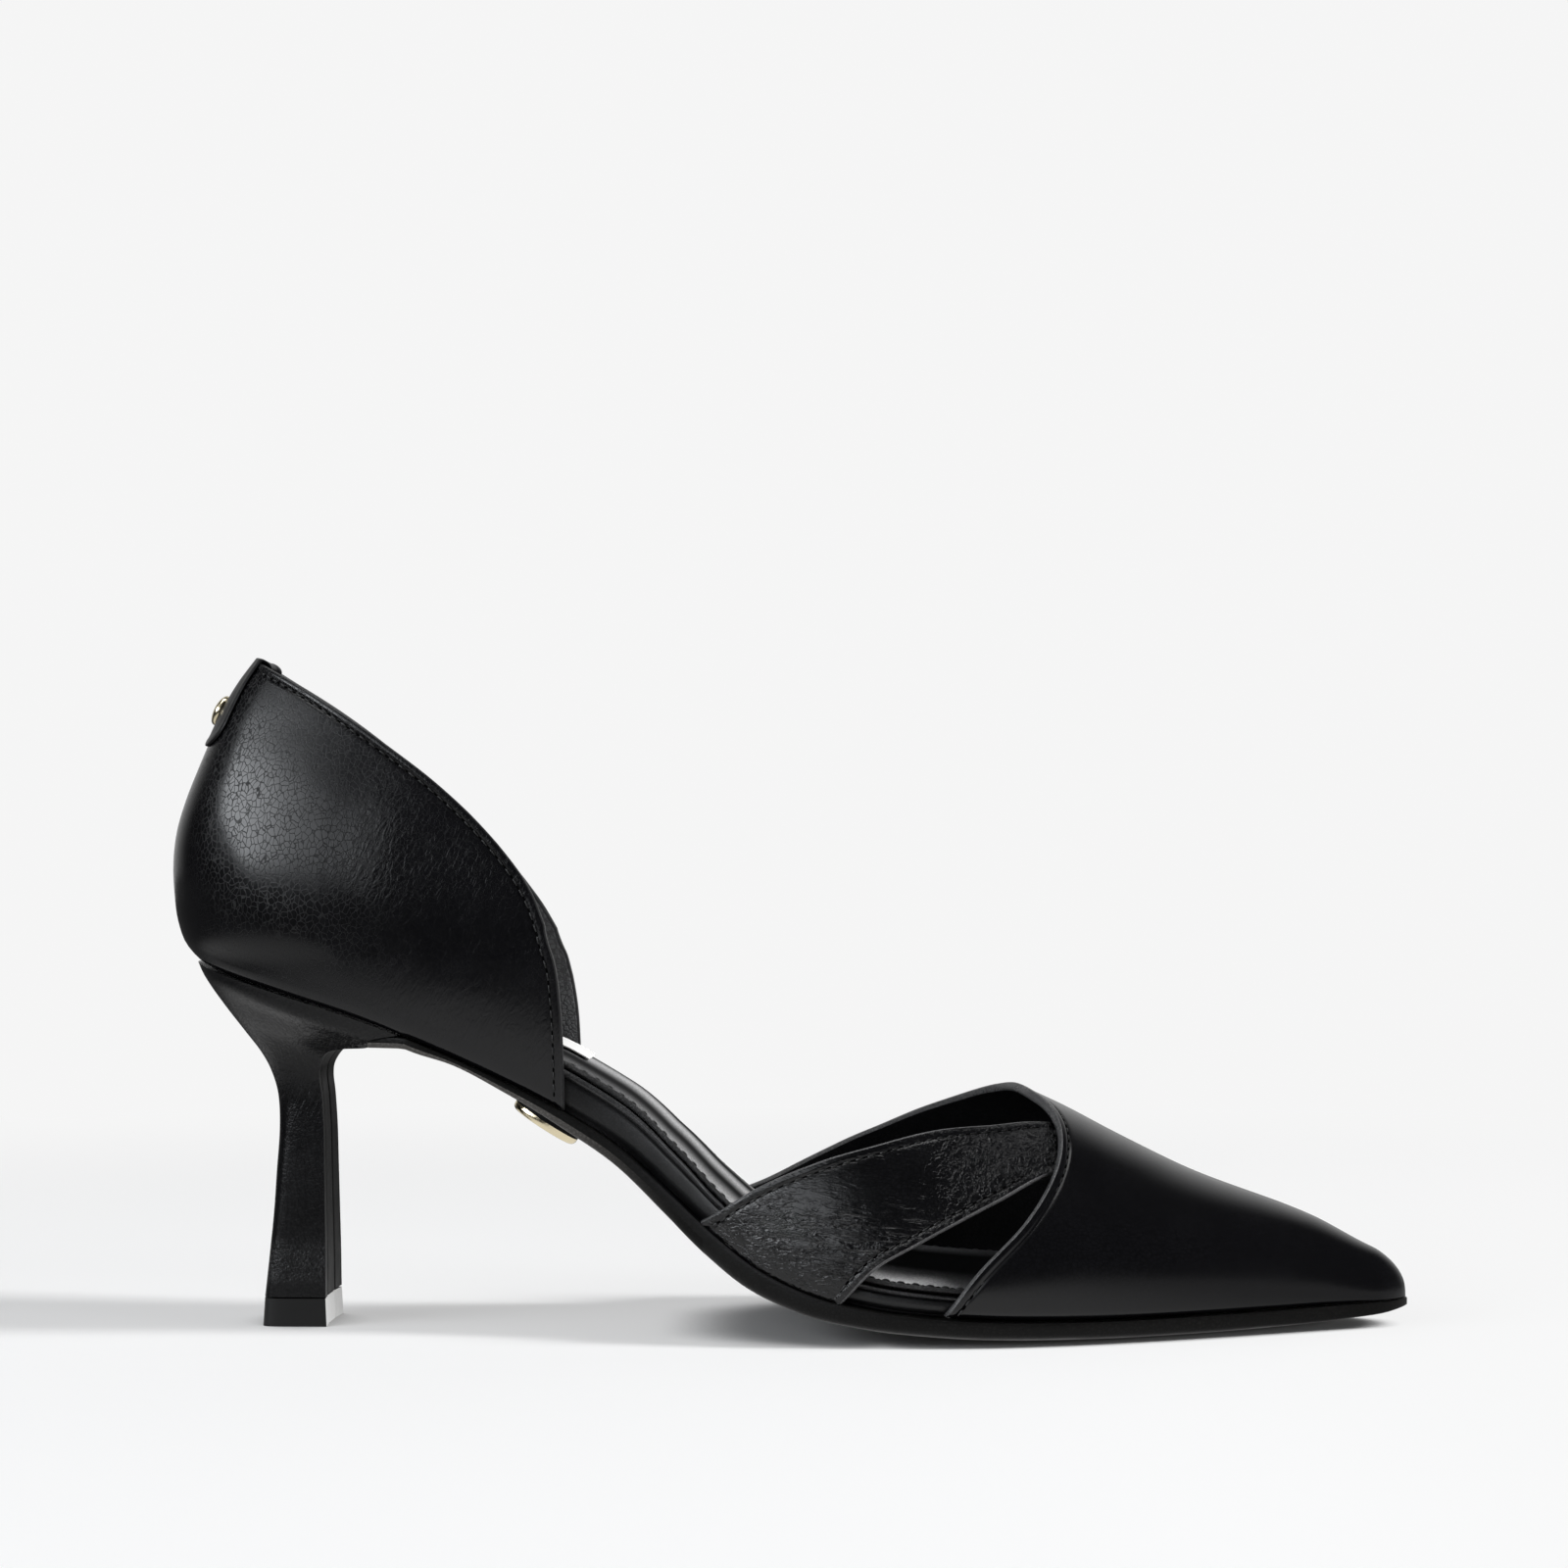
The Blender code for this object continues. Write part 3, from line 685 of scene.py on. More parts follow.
def topline_share(z):
    """How much of the quarter's fold and groove shows: full along the topline, little down the front."""
    growth = ease((z - FRONT_FOLD_TOP) / FRONT_FOLD_GROWTH)
    return FRONT_FOLD_SHARE + (1 - FRONT_FOLD_SHARE) * growth


def grid_faces(rows, columns, first=0):
    corner = first + np.arange(rows - 1)[:, None] * columns + np.arange(columns - 1)
    corner = corner.ravel()
    return np.stack([corner, corner + 1, corner + columns + 1, corner + columns], axis=1).tolist()


def strip_faces(low, high):
    """Faces between two closed loops of vertex numbers."""
    low = np.asarray(low)
    high = np.asarray(high)
    return np.stack([low, np.roll(low, -1), np.roll(high, -1), high], axis=1).tolist()


def add_piece(name, points, faces, finishes, face_finish=None, node=None, sharp=None):
    """A piece that rides on the shoe, made from points in millimetres."""
    mesh = bpy.data.meshes.new(name)
    place = (np.asarray(points, float) - (HALF_LENGTH, 0.0, 0.0)) * MM
    mesh.from_pydata(place.tolist(), [], faces)
    for finish in finishes:
        mesh.materials.append(finish)
    if face_finish is not None:
        mesh.polygons.foreach_set("material_index", np.asarray(face_finish, np.int32))
    bm = bmesh.new()
    bm.from_mesh(mesh)
    bmesh.ops.recalc_face_normals(bm, faces=bm.faces)
    bm.to_mesh(mesh)
    bm.free()
    mesh.shade_smooth()
    if sharp:
        mesh.set_sharp_from_angle(angle=math.radians(sharp))
    piece = bpy.data.objects.new(name, mesh)
    bpy.context.scene.collection.objects.link(piece)
    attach(piece, "root")
    if node:
        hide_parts(node)
    return piece


def leather_wall(name, outside, inside, wall, relief, free, finishes, node):
    """A wall of leather: its face with relief, its lining, and a rim that is round where free is true.

    outside is a grid of points on the face, inside a point on the lining's side of it, and finishes
    are for the face, the lining and the rim.
    """
    rows, columns = outside.shape[:2]
    normal = unit(np.cross(np.gradient(outside, axis=0), np.gradient(outside, axis=1)))
    if (normal * (outside - inside)).sum() < 0:
        normal = -normal
    face = outside + normal * relief[..., None]
    lining = outside - normal * wall
    i = np.r_[[0] * columns, 1:rows, [rows - 1] * (columns - 1), rows - 2:0:-1]
    j = np.r_[0:columns, [columns - 1] * (rows - 1), columns - 2:-1:-1, [0] * (rows - 2)]
    edge = outside[i, j]
    along = np.roll(edge, -1, axis=0) - np.roll(edge, 1, axis=0)
    outward = unit(np.cross(along, normal[i, j]))
    step_in = outside[np.clip(i, 1, rows - 2), np.clip(j, 1, columns - 2)]
    if (outward * (edge - step_in)).sum() < 0:
        outward = -outward
    middle = (face[i, j] + lining[i, j]) / 2
    reach = np.where(free[i, j], RIM_REACH, HIDDEN_RIM_REACH)[:, None]
    rim = []
    for turn in np.radians(RIM_TURNS):
        rim.append(middle + (face[i, j] - middle) * math.cos(turn) + outward * reach * math.sin(turn))
    count = rows * columns
    loops = [i * columns + j]
    loops += [2 * count + k * len(i) + np.arange(len(i)) for k in range(len(rim))]
    loops += [count + i * columns + j]
    face_quads = grid_faces(rows, columns)
    lining_quads = grid_faces(rows, columns, count)
    rim_quads = [quad for low, high in zip(loops, loops[1:]) for quad in strip_faces(low, high)]
    points = np.concatenate([face.reshape(-1, 3), lining.reshape(-1, 3), *rim])
    kinds = [0] * len(face_quads) + [1] * len(lining_quads) + [2] * len(rim_quads)
    quads = face_quads + lining_quads + rim_quads
    return add_piece(name, points, quads, finishes, kinds, node)


def loft_faces(rings, count):
    faces = []
    for k in range(rings - 1):
        faces += strip_faces(k * count + np.arange(count), (k + 1) * count + np.arange(count))
    faces.append(list(range(count)))
    faces.append(list(range((rings - 1) * count, rings * count)))
    return faces


def loft(name, rings, finishes, node, sharp=40.0, face_finish=None):
    """A closed solid through rings that have the same number of points."""
    rings = np.array(rings, float)
    faces = loft_faces(len(rings), len(rings[0]))
    return add_piece(name, rings.reshape(-1, 3), faces, finishes, face_finish, node, sharp)


def mirror_section(side):
    """A whole section from one side of it: the inner side from the top down, then the outer one."""
    return list(side) + [(-across, up) for across, up in reversed(side)]


def layer_ring(x, base, height, edges, section):
    """One cross-section of a flat layer: shares of its half width and of its height."""
    middle = (edges[0] + edges[1]) / 2
    half = (edges[1] - edges[0]) / 2
    return [(x, middle + half * across, base + height * up) for across, up in section]


def bevelled(piece, width, angle=40.0):
    bevel = piece.modifiers.new("softened_corners", "BEVEL")
    bevel.width = width * MM
    bevel.segments = 2
    bevel.limit_method = "ANGLE"
    bevel.angle_limit = math.radians(angle)
    bevel.harden_normals = True


# Stitches


def stitch_row(edge, normals, inside, sunk, ends):
    """Stitch line along a folded edge, and its normals.

    inside is a point on the leather within the edge, sunk the depth of the groove, and ends the distances
    from the edge's two ends at which the stitches start and stop.
    """
    along = unit(np.gradient(edge, axis=0))
    across = unit(np.cross(normals, along))
    if (across * (np.array(inside) - edge)).sum() < 0:
        across = -across
    line = edge + across * GROOVE_RUN - normals * sunk
    start, stop = ends
    part = slice(int(start / EDGE_PITCH), -int(stop / EDGE_PITCH))
    return line[part], normals[part]


def even_marks(line, normals, pitch):
    """Middle, direction and outward normal of stitches spaced evenly along a line."""
    steps = np.linalg.norm(np.diff(line, axis=0), axis=1)
    run = np.concatenate([[0.0], np.cumsum(steps)])
    marks = np.arange(pitch / 2, run[-1] - pitch / 4, pitch)

    def sampled(values, at):
        return np.stack([np.interp(at, run, values[:, k]) for k in range(3)], axis=1)

    step = 0.3
    middle = sampled(line, marks)
    along = unit(sampled(line, marks + step) - sampled(line, marks - step))
    return middle, along, unit(sampled(normals, marks))


# Share of a stitch's half length, share of its radius, and its rise over the leather in radii
STITCH_SHAPE = (
    (-1.0, 0.45, -0.9),
    (-0.8, 0.85, -0.1),
    (-0.4, 1.0, 0.4),
    (0.0, 1.0, 0.5),
    (0.4, 1.0, 0.4),
    (0.8, 0.85, -0.1),
    (1.0, 0.45, -0.9),
)
# Painted shade of a needle hole, a dark body: share of its half length, share of its radius, and its rise
# over the leather in radii
HOLE_SHAPE = (
    (-1.0, 0.3, -0.5),
    (-0.7, 0.8, -0.55),
    (0.0, 1.0, -0.6),
    (0.7, 0.8, -0.55),
    (1.0, 0.3, -0.5),
)


def beads(rows, shape, pitch, length, radius, shift=0.0):
    """Points and faces of small round-sided bodies set out along rows."""
    sides = 6
    turns = np.arange(sides) * 2 * math.pi / sides
    points = []
    faces = []
    body_faces = loft_faces(len(shape), sides)
    for line, normals in rows:
        middle, along, up = even_marks(line, normals, pitch)
        middle = middle + along * shift
        across = np.cross(along, up)
        rings = []
        for run, width, rise in shape:
            centre = middle + along * run * length / 2 + up * rise * radius
            spoke = up[:, None] * np.cos(turns)[:, None] + across[:, None] * np.sin(turns)[:, None]
            rings.append(centre[:, None] + spoke * width * radius)
        for body in np.stack(rings, axis=1):
            first = len(points) * sides * len(shape)
            points.append(body.reshape(-1, 3))
            faces += [[first + v for v in face] for face in body_faces]
    return np.concatenate(points), faces


def add_stitches(name, rows, finish, pitch=STITCH_PITCH, length=STITCH_LENGTH, radius=STITCH_RADIUS):
    """Rows of stitches with dark matt bodies that paint the shade of their needle holes, each row a line and
    its outward normals, as one piece.
    """
    thread, thread_faces = beads(rows, STITCH_SHAPE, pitch, length, radius)
    hole_length = pitch - length + HOLE_OVERLAP
    holes, hole_faces = beads(rows, HOLE_SHAPE, pitch, hole_length, radius * HOLE_SPREAD, pitch / 2)
    faces = thread_faces + [[v + len(thread) for v in face] for face in hole_faces]
    kinds = [0] * len(thread_faces) + [1] * len(hole_faces)
    return add_piece(name, np.concatenate([thread, holes]), faces, [finish, NEEDLE_HOLE_SHADE], kinds, None)


# Shader groups


def feed(tree, socket, value):
    """Gives a socket a value, or a link from another socket."""
    if isinstance(value, bpy.types.NodeSocket):
        tree.links.new(value, socket)
    else:
        socket.default_value = value


def add_node(tree, kind, inputs=None, **settings):
    """One shader node: settings are its own properties, inputs its socket values or links."""
    made = tree.nodes.new(kind)
    for name, value in settings.items():
        setattr(made, name, value)
    for name, value in (inputs or {}).items():
        feed(tree, made.inputs[name], value)
    return made


def maths(tree, operation, first, second=0.0, third=0.0):
    return add_node(tree, "ShaderNodeMath", {0: first, 1: second, 2: third}, operation=operation).outputs[0]


def between(tree, value, low, high, start=0.0, end=1.0):
    """Smooth change from start to end while value goes from low to high."""
    inputs = {"Value": value, "From Min": low, "From Max": high, "To Min": start, "To Max": end}
    made = add_node(tree, "ShaderNodeMapRange", inputs, interpolation_type="SMOOTHSTEP")
    return made.outputs["Result"]


def new_group(name, inputs, outputs):
    """An empty shader group with named sockets: returns its tree, input sockets and output sockets."""
    tree = bpy.data.node_groups.new(name, "ShaderNodeTree")
    for label, kind, value in inputs:
        socket = tree.interface.new_socket(label, in_out="INPUT", socket_type=kind)
        if value is not None:
            socket.default_value = value
    for label in outputs:
        tree.interface.new_socket(label, in_out="OUTPUT", socket_type="NodeSocketFloat")
    start = tree.nodes.new("NodeGroupInput")
    end = tree.nodes.new("NodeGroupOutput")
    return tree, start.outputs, end.inputs


def make_leather_grain():
    """Cells of grain parted by thin cracks, with pores. Place and Cell are in millimetres."""
    sockets = (
        ("Place", "NodeSocketVector", None),
        ("Cell", "NodeSocketFloat", 1.2),
        ("Crack Width", "NodeSocketFloat", 0.12),
        ("Depth", "NodeSocketFloat", 0.05),
        ("Pores", "NodeSocketFloat", 0.01),
    )
    tree, given, result = new_group("leather_grain", sockets, ("Height", "Crack", "Cell Tone"))
    drift = add_node(tree, "ShaderNodeTexNoise", {"Vector": given["Place"], "Scale": 0.45, "Detail": 2.0})
    pull = add_node(
        tree,
        "ShaderNodeVectorMath",
        {0: drift.outputs["Color"], 1: (1.1, 1.1, 1.1), 2: given["Place"]},
        operation="MULTIPLY_ADD",
    )

    def cells(scale, feature):
        inputs = {"Vector": pull.outputs[0], "Scale": scale}
        return add_node(tree, "ShaderNodeTexVoronoi", inputs, feature=feature).outputs

    per_cell = maths(tree, "DIVIDE", 1.0, given["Cell"])
    per_crumb = maths(tree, "MULTIPLY", per_cell, 2.3)
    plateau = between(tree, cells(per_cell, "DISTANCE_TO_EDGE")["Distance"], 0.0, given["Crack Width"])
    crumb = between(tree, cells(per_crumb, "DISTANCE_TO_EDGE")["Distance"], 0.0, 0.25)
    pores = add_node(tree, "ShaderNodeTexNoise", {"Vector": given["Place"], "Scale": 2.6, "Detail": 3.0})
    body = maths(tree, "ADD", maths(tree, "MULTIPLY", plateau, 0.75), maths(tree, "MULTIPLY", crumb, 0.25))
    raised = maths(tree, "MULTIPLY", body, given["Depth"])
    pitted = maths(tree, "MULTIPLY", pores.outputs["Fac"], given["Pores"])
    tree.links.new(maths(tree, "ADD", raised, pitted), result["Height"])
    tree.links.new(maths(tree, "SUBTRACT", 1.0, plateau), result["Crack"])
    cell_colour = add_node(tree, "ShaderNodeSeparateColor", {0: cells(per_cell, "F1")["Color"]})
    tree.links.new(cell_colour.outputs["Red"], result["Cell Tone"])
    return tree


def make_soft_wrinkles():
    """Fine wrinkles that run along the first axis of Place. Lengths are in millimetres."""
    sockets = (
        ("Place", "NodeSocketVector", None),
        ("Length", "NodeSocketFloat", 6.0),
        ("Spacing", "NodeSocketFloat", 1.0),
        ("Depth", "NodeSocketFloat", 0.1),
    )
    tree, given, result = new_group("soft_wrinkles", sockets, ("Height",))
    across = maths(tree, "DIVIDE", 1.0, given["Spacing"])
    scale = add_node(
        tree,
        "ShaderNodeCombineXYZ",
        {"X": maths(tree, "DIVIDE", 1.0, given["Length"]), "Y": across, "Z": across},
    )
    drawn = add_node(
        tree,
        "ShaderNodeVectorMath",
        {0: given["Place"], 1: scale.outputs[0]},
        operation="MULTIPLY",
    )
    folds = add_node(
        tree,
        "ShaderNodeTexNoise",
        {"Vector": drawn.outputs[0], "Scale": 0.55, "Detail": 3.0, "Roughness": 0.55, "Distortion": 0.5},
    )
    swing = maths(tree, "ABSOLUTE", maths(tree, "SUBTRACT", folds.outputs["Fac"], 0.5))
    ridge = between(tree, swing, 0.0, 0.16)
    tree.links.new(maths(tree, "MULTIPLY", ridge, given["Depth"]), result["Height"])
    return tree


def make_handling_wear():
    """Uneven gloss from handling: Roughness strays from its given value by up to Range."""
    sockets = (
        ("Place", "NodeSocketVector", None),
        ("Roughness", "NodeSocketFloat", 0.4),
        ("Range", "NodeSocketFloat", 0.08),
        ("Patch", "NodeSocketFloat", 14.0),
    )
    tree, given, result = new_group("handling_wear", sockets, ("Roughness", "Tone"))
    per_patch = maths(tree, "DIVIDE", 1.0, given["Patch"])
    patches = add_node(
        tree,
        "ShaderNodeTexNoise",
        {"Vector": given["Place"], "Scale": per_patch, "Detail": 4.0, "Roughness": 0.6},
    )
    tone = between(tree, patches.outputs["Fac"], 0.3, 0.7)
    stray = maths(tree, "MULTIPLY", maths(tree, "SUBTRACT", tone, 0.5), given["Range"])
    tree.links.new(maths(tree, "ADD", given["Roughness"], stray), result["Roughness"])
    tree.links.new(tone, result["Tone"])
    return tree


LEATHER_GRAIN = make_leather_grain()
SOFT_WRINKLES = make_soft_wrinkles()
HANDLING_WEAR = make_handling_wear()


class Finish:
    """A material in the making: its tree, its shader and the place on the shoe in millimetres."""

    def __init__(self, name):
        self.material = bpy.data.materials.new(name)
        self.material.use_nodes = True
        self.tree = self.material.node_tree
        self.shader = self.tree.nodes["Principled BSDF"]
        where = self.add("ShaderNodeTexCoord").outputs["Object"]
        to_mm = {0: where, "Scale": 1 / MM}
        self.place = self.add("ShaderNodeVectorMath", to_mm, operation="SCALE").outputs[0]
        self.axes = self.add("ShaderNodeSeparateXYZ", {0: self.place}).outputs

    def add(self, kind, inputs=None, **settings):
        return add_node(self.tree, kind, inputs, **settings)

    def group(self, tree, **values):
        made = self.add("ShaderNodeGroup", None, node_tree=tree)
        for label, value in {"Place": self.place, **values}.items():
            feed(self.tree, made.inputs[label.replace("_", " ")], value)
        return made.outputs

    def turned(self, tilt, swing=0.0, scale=(1.0, 1.0, 1.0)):
        """The place turned in the side view by tilt degrees, and about the upright by swing degrees."""
        angles = (0.0, math.radians(tilt), math.radians(swing))
        made = self.add("ShaderNodeMapping", {"Vector": self.place, "Rotation": angles, "Scale": scale})
        return made.outputs[0]

    def between(self, value, low, high, start=0.0, end=1.0):
        return between(self.tree, value, low, high, start, end)

    def maths(self, operation, first, second=0.0):
        return maths(self.tree, operation, first, second)

    def mix(self, share, first, second):
        """A colour between two colours."""
        made = self.add("ShaderNodeMix", {"Factor": share}, data_type="RGBA")
        ends = [socket for socket in made.inputs if socket.type == "RGBA"]
        for socket, colour in zip(ends, (first, second)):
            feed(self.tree, socket, (*colour, 1.0) if isinstance(colour, tuple) else colour)
        return next(socket for socket in made.outputs if socket.type == "RGBA")

    def set(self, **values):
        for label, value in values.items():
            feed(self.tree, self.shader.inputs[label.replace("_", " ")], value)
        return self

    def bump(self, *heights):
        """Relief from heights in millimetres, added up."""
        total = heights[0]
        for height in heights[1:]:
            total = self.maths("ADD", total, height)
        made = self.add("ShaderNodeBump", {"Height": total, "Strength": 1.0, "Distance": MM})
        return self.set(Normal=made.outputs[0])


def tint(finish, colour, tone, crack=None, lift=1.5, sink=0.45):
    """Leather colour: a little lighter where it is handled, darker in its cracks."""
    light = tuple(channel * lift for channel in colour)
    dark = tuple(channel * sink for channel in colour)
    shade = finish.mix(tone, colour, light)
    if crack is not None:
        shade = finish.mix(crack, shade, dark)
    return shade


def tinted(finish, colour, tone, crack=None, lift=1.5, sink=0.45):
    return finish.set(Base_Color=tint(finish, colour, tone, crack, lift, sink))


def make_quarter_leather():
    """Crackled round the heel, wrinkled towards the front, pressed smooth near the seat."""
    finish = Finish("quarter_leather")
    wear = finish.group(HANDLING_WEAR, Roughness=0.15, Range=0.05, Patch=16.0)
    tall = finish.turned(0.0, scale=(1.0, 1.0, 0.78))
    grain = finish.group(LEATHER_GRAIN, Place=tall, Cell=1.05, Crack_Width=0.09, Depth=0.012, Pores=0.005)
    wrinkles = finish.group(SOFT_WRINKLES, Place=finish.turned(62.0), Length=1.8, Spacing=0.65, Depth=0.03)
    off_seat = finish.between(finish.axes["Z"], 78.0, 92.0, 0.4, 1.0)
    front = finish.between(finish.axes["X"], -96.0, -66.0)
    off_seam = finish.between(finish.axes["X"], -118.0, -107.0, 0.15, 1.0)
    cracked = finish.maths("MULTIPLY", off_seat, finish.between(front, 0.0, 1.0, 1.0, 0.4))
    cracked = finish.maths("MULTIPLY", cracked, off_seam)
    crack = finish.maths("MULTIPLY", grain["Crack"], cracked)
    tinted(finish, (0.003, 0.003, 0.0036), wear["Tone"], crack)
    rough_cell = finish.maths("MULTIPLY", grain["Cell Tone"], 0.05)
    rough_crack = finish.maths("MULTIPLY", crack, 0.5)
    rough = finish.maths("ADD", wear["Roughness"], finish.maths("ADD", rough_cell, rough_crack))
    finish.set(Roughness=rough)
    finish.bump(
        finish.maths("MULTIPLY", grain["Height"], cracked),
        finish.maths("MULTIPLY", wrinkles["Height"], finish.maths("MULTIPLY", front, off_seat)),
    )
    return finish.material


def make_vamp_leather():
    """Smooth satin with fine pores."""
    finish = Finish("vamp_leather")
    wear = finish.group(HANDLING_WEAR, Roughness=0.22, Range=0.05, Patch=20.0)
    grain = finish.group(LEATHER_GRAIN, Cell=0.9, Crack_Width=0.2, Depth=0.004, Pores=0.004)
    tinted(finish, (0.0025, 0.0025, 0.003), wear["Tone"], grain["Crack"], sink=0.8)
    finish.set(Roughness=wear["Roughness"])
    finish.bump(grain["Height"])
    return finish.material


def make_strap_leather():
    """Glossy, with wrinkles along the foot and a crumple beside the vamp."""
    finish = Finish("strap_leather")
    wear = finish.group(HANDLING_WEAR, Roughness=0.17, Range=0.06, Patch=9.0)
    grain = finish.group(LEATHER_GRAIN, Cell=0.8, Crack_Width=0.22, Depth=0.005, Pores=0.003)
    long = finish.group(SOFT_WRINKLES, Place=finish.turned(-8.0), Length=4.6, Spacing=0.7, Depth=-0.16)
    crumple = finish.group(SOFT_WRINKLES, Place=finish.turned(60.0), Length=2.0, Spacing=0.8, Depth=0.2)
    near_vamp = finish.between(finish.axes["X"], 22.0, 40.0)
    low = finish.between(finish.axes["Z"], 20.0, 30.0, 1.0, 0.3)
    gathered = finish.between(finish.group(HANDLING_WEAR, Patch=5.0)["Tone"], 0.1, 0.9, 0.35, 1.0)
    lined = finish.maths("MULTIPLY", low, gathered)
    tinted(finish, (0.0035, 0.0035, 0.004), wear["Tone"], grain["Crack"], sink=0.7)
    finish.set(Roughness=wear["Roughness"])
    finish.bump(
        grain["Height"],
        finish.maths("MULTIPLY", long["Height"], lined),
        finish.maths("MULTIPLY", crumple["Height"], near_vamp),
    )
    return finish.material


def make_heel_leather():
    """Fine grain, with pulled wrinkles round the neck and a rubbed patch above the wear piece."""
    finish = Finish("heel_leather")
    wear = finish.group(HANDLING_WEAR, Roughness=0.2, Range=0.05, Patch=10.0)
    grain = finish.group(LEATHER_GRAIN, Cell=0.9, Crack_Width=0.2, Depth=0.012, Pores=0.006)
    pulled = finish.group(SOFT_WRINKLES, Place=finish.turned(72.0), Length=5.0, Spacing=0.6, Depth=0.05)
    rubbed_and_painted_light = finish.group(LEATHER_GRAIN, Cell=0.8, Crack_Width=0.4, Depth=0.07, Pores=0.03)
    z = finish.axes["Z"]
    neck = finish.maths("MULTIPLY", finish.between(z, 36.0, 46.0), finish.between(z, 60.0, 70.0, 1.0, 0.2))
    low = finish.maths("MULTIPLY", finish.between(z, 7.0, 10.0), finish.between(z, 13.0, 19.0, 1.0, 0.0))
    tinted(finish, (0.0045, 0.0045, 0.005), wear["Tone"], grain["Crack"], sink=0.7)
    finish.set(Roughness=wear["Roughness"], Specular_IOR_Level=0.28)
    finish.bump(
        grain["Height"],
        finish.maths("MULTIPLY", pulled["Height"], neck),
        finish.maths("MULTIPLY", rubbed_and_painted_light["Height"], low),
    )
    return finish.material


def make_plain_leather(name, colour, roughness, cell, depth, pores, gloss=0.5):
    """Leather with an even fine grain: linings, tab, rims and the edges of board and sock."""
    finish = Finish(name)
    wear = finish.group(HANDLING_WEAR, Roughness=roughness, Range=0.08, Patch=8.0)
    grain = finish.group(LEATHER_GRAIN, Cell=cell, Crack_Width=0.22, Depth=depth, Pores=pores)
    tinted(finish, colour, wear["Tone"], grain["Crack"], sink=0.7)
    finish.set(Roughness=wear["Roughness"], Specular_IOR_Level=gloss)
    finish.bump(grain["Height"])
    return finish.material


def make_sock_leather():
    """Dark soft leather, with painted light: a painted sheen along the middle of the waist and painted light
    along the sides of the ball.
    """
    finish = Finish("sock_leather")
    wear = finish.group(HANDLING_WEAR, Roughness=0.3, Range=0.08, Patch=8.0)
    grain = finish.group(LEATHER_GRAIN, Cell=0.8, Crack_Width=0.22, Depth=0.02, Pores=0.012)
    forward = finish.axes["X"]
    sideways = finish.maths("ABSOLUTE", finish.axes["Y"])
    # Painted light: the sides of the ball are made pale as if lit through the open side of the shoe, and the
    # middle of the waist carries a painted grazing sheen.
    sides = finish.between(sideways, 12.0, 31.0)
    painted_ball_light = finish.maths("MULTIPLY", sides, finish.between(forward, 18.0, 42.0, 1.0, 0.3))
    middle = finish.between(sideways, 0.0, 11.0, 0.7, 0.0)
    waist = finish.maths("MULTIPLY", middle, finish.between(forward, 2.0, 12.0, 1.0, 0.0))
    rubbed_and_painted_light = finish.maths("MAXIMUM", painted_ball_light, waist)
    # Dark leather mixed towards the pale colour of the painted light and sheen.
    shade = finish.mix(rubbed_and_painted_light, (0.014, 0.014, 0.0145), (0.52, 0.52, 0.525))
    crack = finish.maths("MULTIPLY", grain["Crack"], 0.3)
    finish.set(Base_Color=finish.mix(crack, shade, (0.02, 0.02, 0.02)))
    finish.set(Roughness=wear["Roughness"], Specular_IOR_Level=0.0)
    finish.bump(grain["Height"])
    return finish.material


def make_sole_leather(name, colour, fade_to=None, gloss=0.3):
    """Dyed sole with faint scuffs along the foot. fade_to is its colour from the ball forward."""
    finish = Finish(name)
    wear = finish.group(HANDLING_WEAR, Roughness=0.42, Range=0.12, Patch=12.0)
    grain = finish.group(LEATHER_GRAIN, Cell=0.7, Crack_Width=0.3, Depth=0.02, Pores=0.02)
    scuffs = finish.group(SOFT_WRINKLES, Length=14.0, Spacing=1.2, Depth=0.02)
    shade = tint(finish, colour, wear["Tone"], grain["Crack"], sink=0.8)
    if fade_to is not None:
        near_ball = finish.between(finish.axes["X"], -52.0, -17.0)
        faded = tint(finish, fade_to, wear["Tone"], grain["Crack"], sink=0.8)
        shade = finish.mix(near_ball, shade, faded)
    finish.set(Base_Color=shade)
    finish.set(Roughness=wear["Roughness"], Specular_IOR_Level=gloss)
    finish.bump(grain["Height"], scuffs["Height"])
    return finish.material


def make_even(name, colour, roughness, pores, gloss=0.5):
    """A fine even texture: moulded rubber, the heel's breast and the painted shade of the needle holes."""
    finish = Finish(name)
    wear = finish.group(HANDLING_WEAR, Roughness=roughness, Range=0.1, Patch=5.0)
    grain = finish.group(LEATHER_GRAIN, Cell=0.5, Crack_Width=0.4, Depth=0.0, Pores=pores)
    tinted(finish, colour, wear["Tone"], lift=1.08)
    finish.set(Roughness=wear["Roughness"], Specular_IOR_Level=gloss)
    finish.bump(grain["Height"])
    return finish.material


def make_thread():
    """Twisted black thread."""
    finish = Finish("thread")
    wear = finish.group(HANDLING_WEAR, Roughness=0.34, Range=0.1, Patch=2.0)
    twist = finish.group(SOFT_WRINKLES, Place=finish.turned(35.0, 30.0), Length=0.9, Spacing=0.16, Depth=0.03)
    tinted(finish, (0.002, 0.002, 0.0022), wear["Tone"])
    finish.set(Roughness=wear["Roughness"], Specular_IOR_Level=0.7)
    finish.bump(twist["Height"])
    return finish.material


def make_label_white():
    """Plain pale woven patch."""
    finish = Finish("label_white")
    wear = finish.group(HANDLING_WEAR, Roughness=0.5, Range=0.1, Patch=6.0)
    weft = finish.group(SOFT_WRINKLES, Length=3.0, Spacing=0.35, Depth=0.03)
    tinted(finish, (0.78, 0.78, 0.77), wear["Tone"], lift=1.05)
    finish.set(Roughness=wear["Roughness"])
    finish.bump(weft["Height"])
    return finish.material


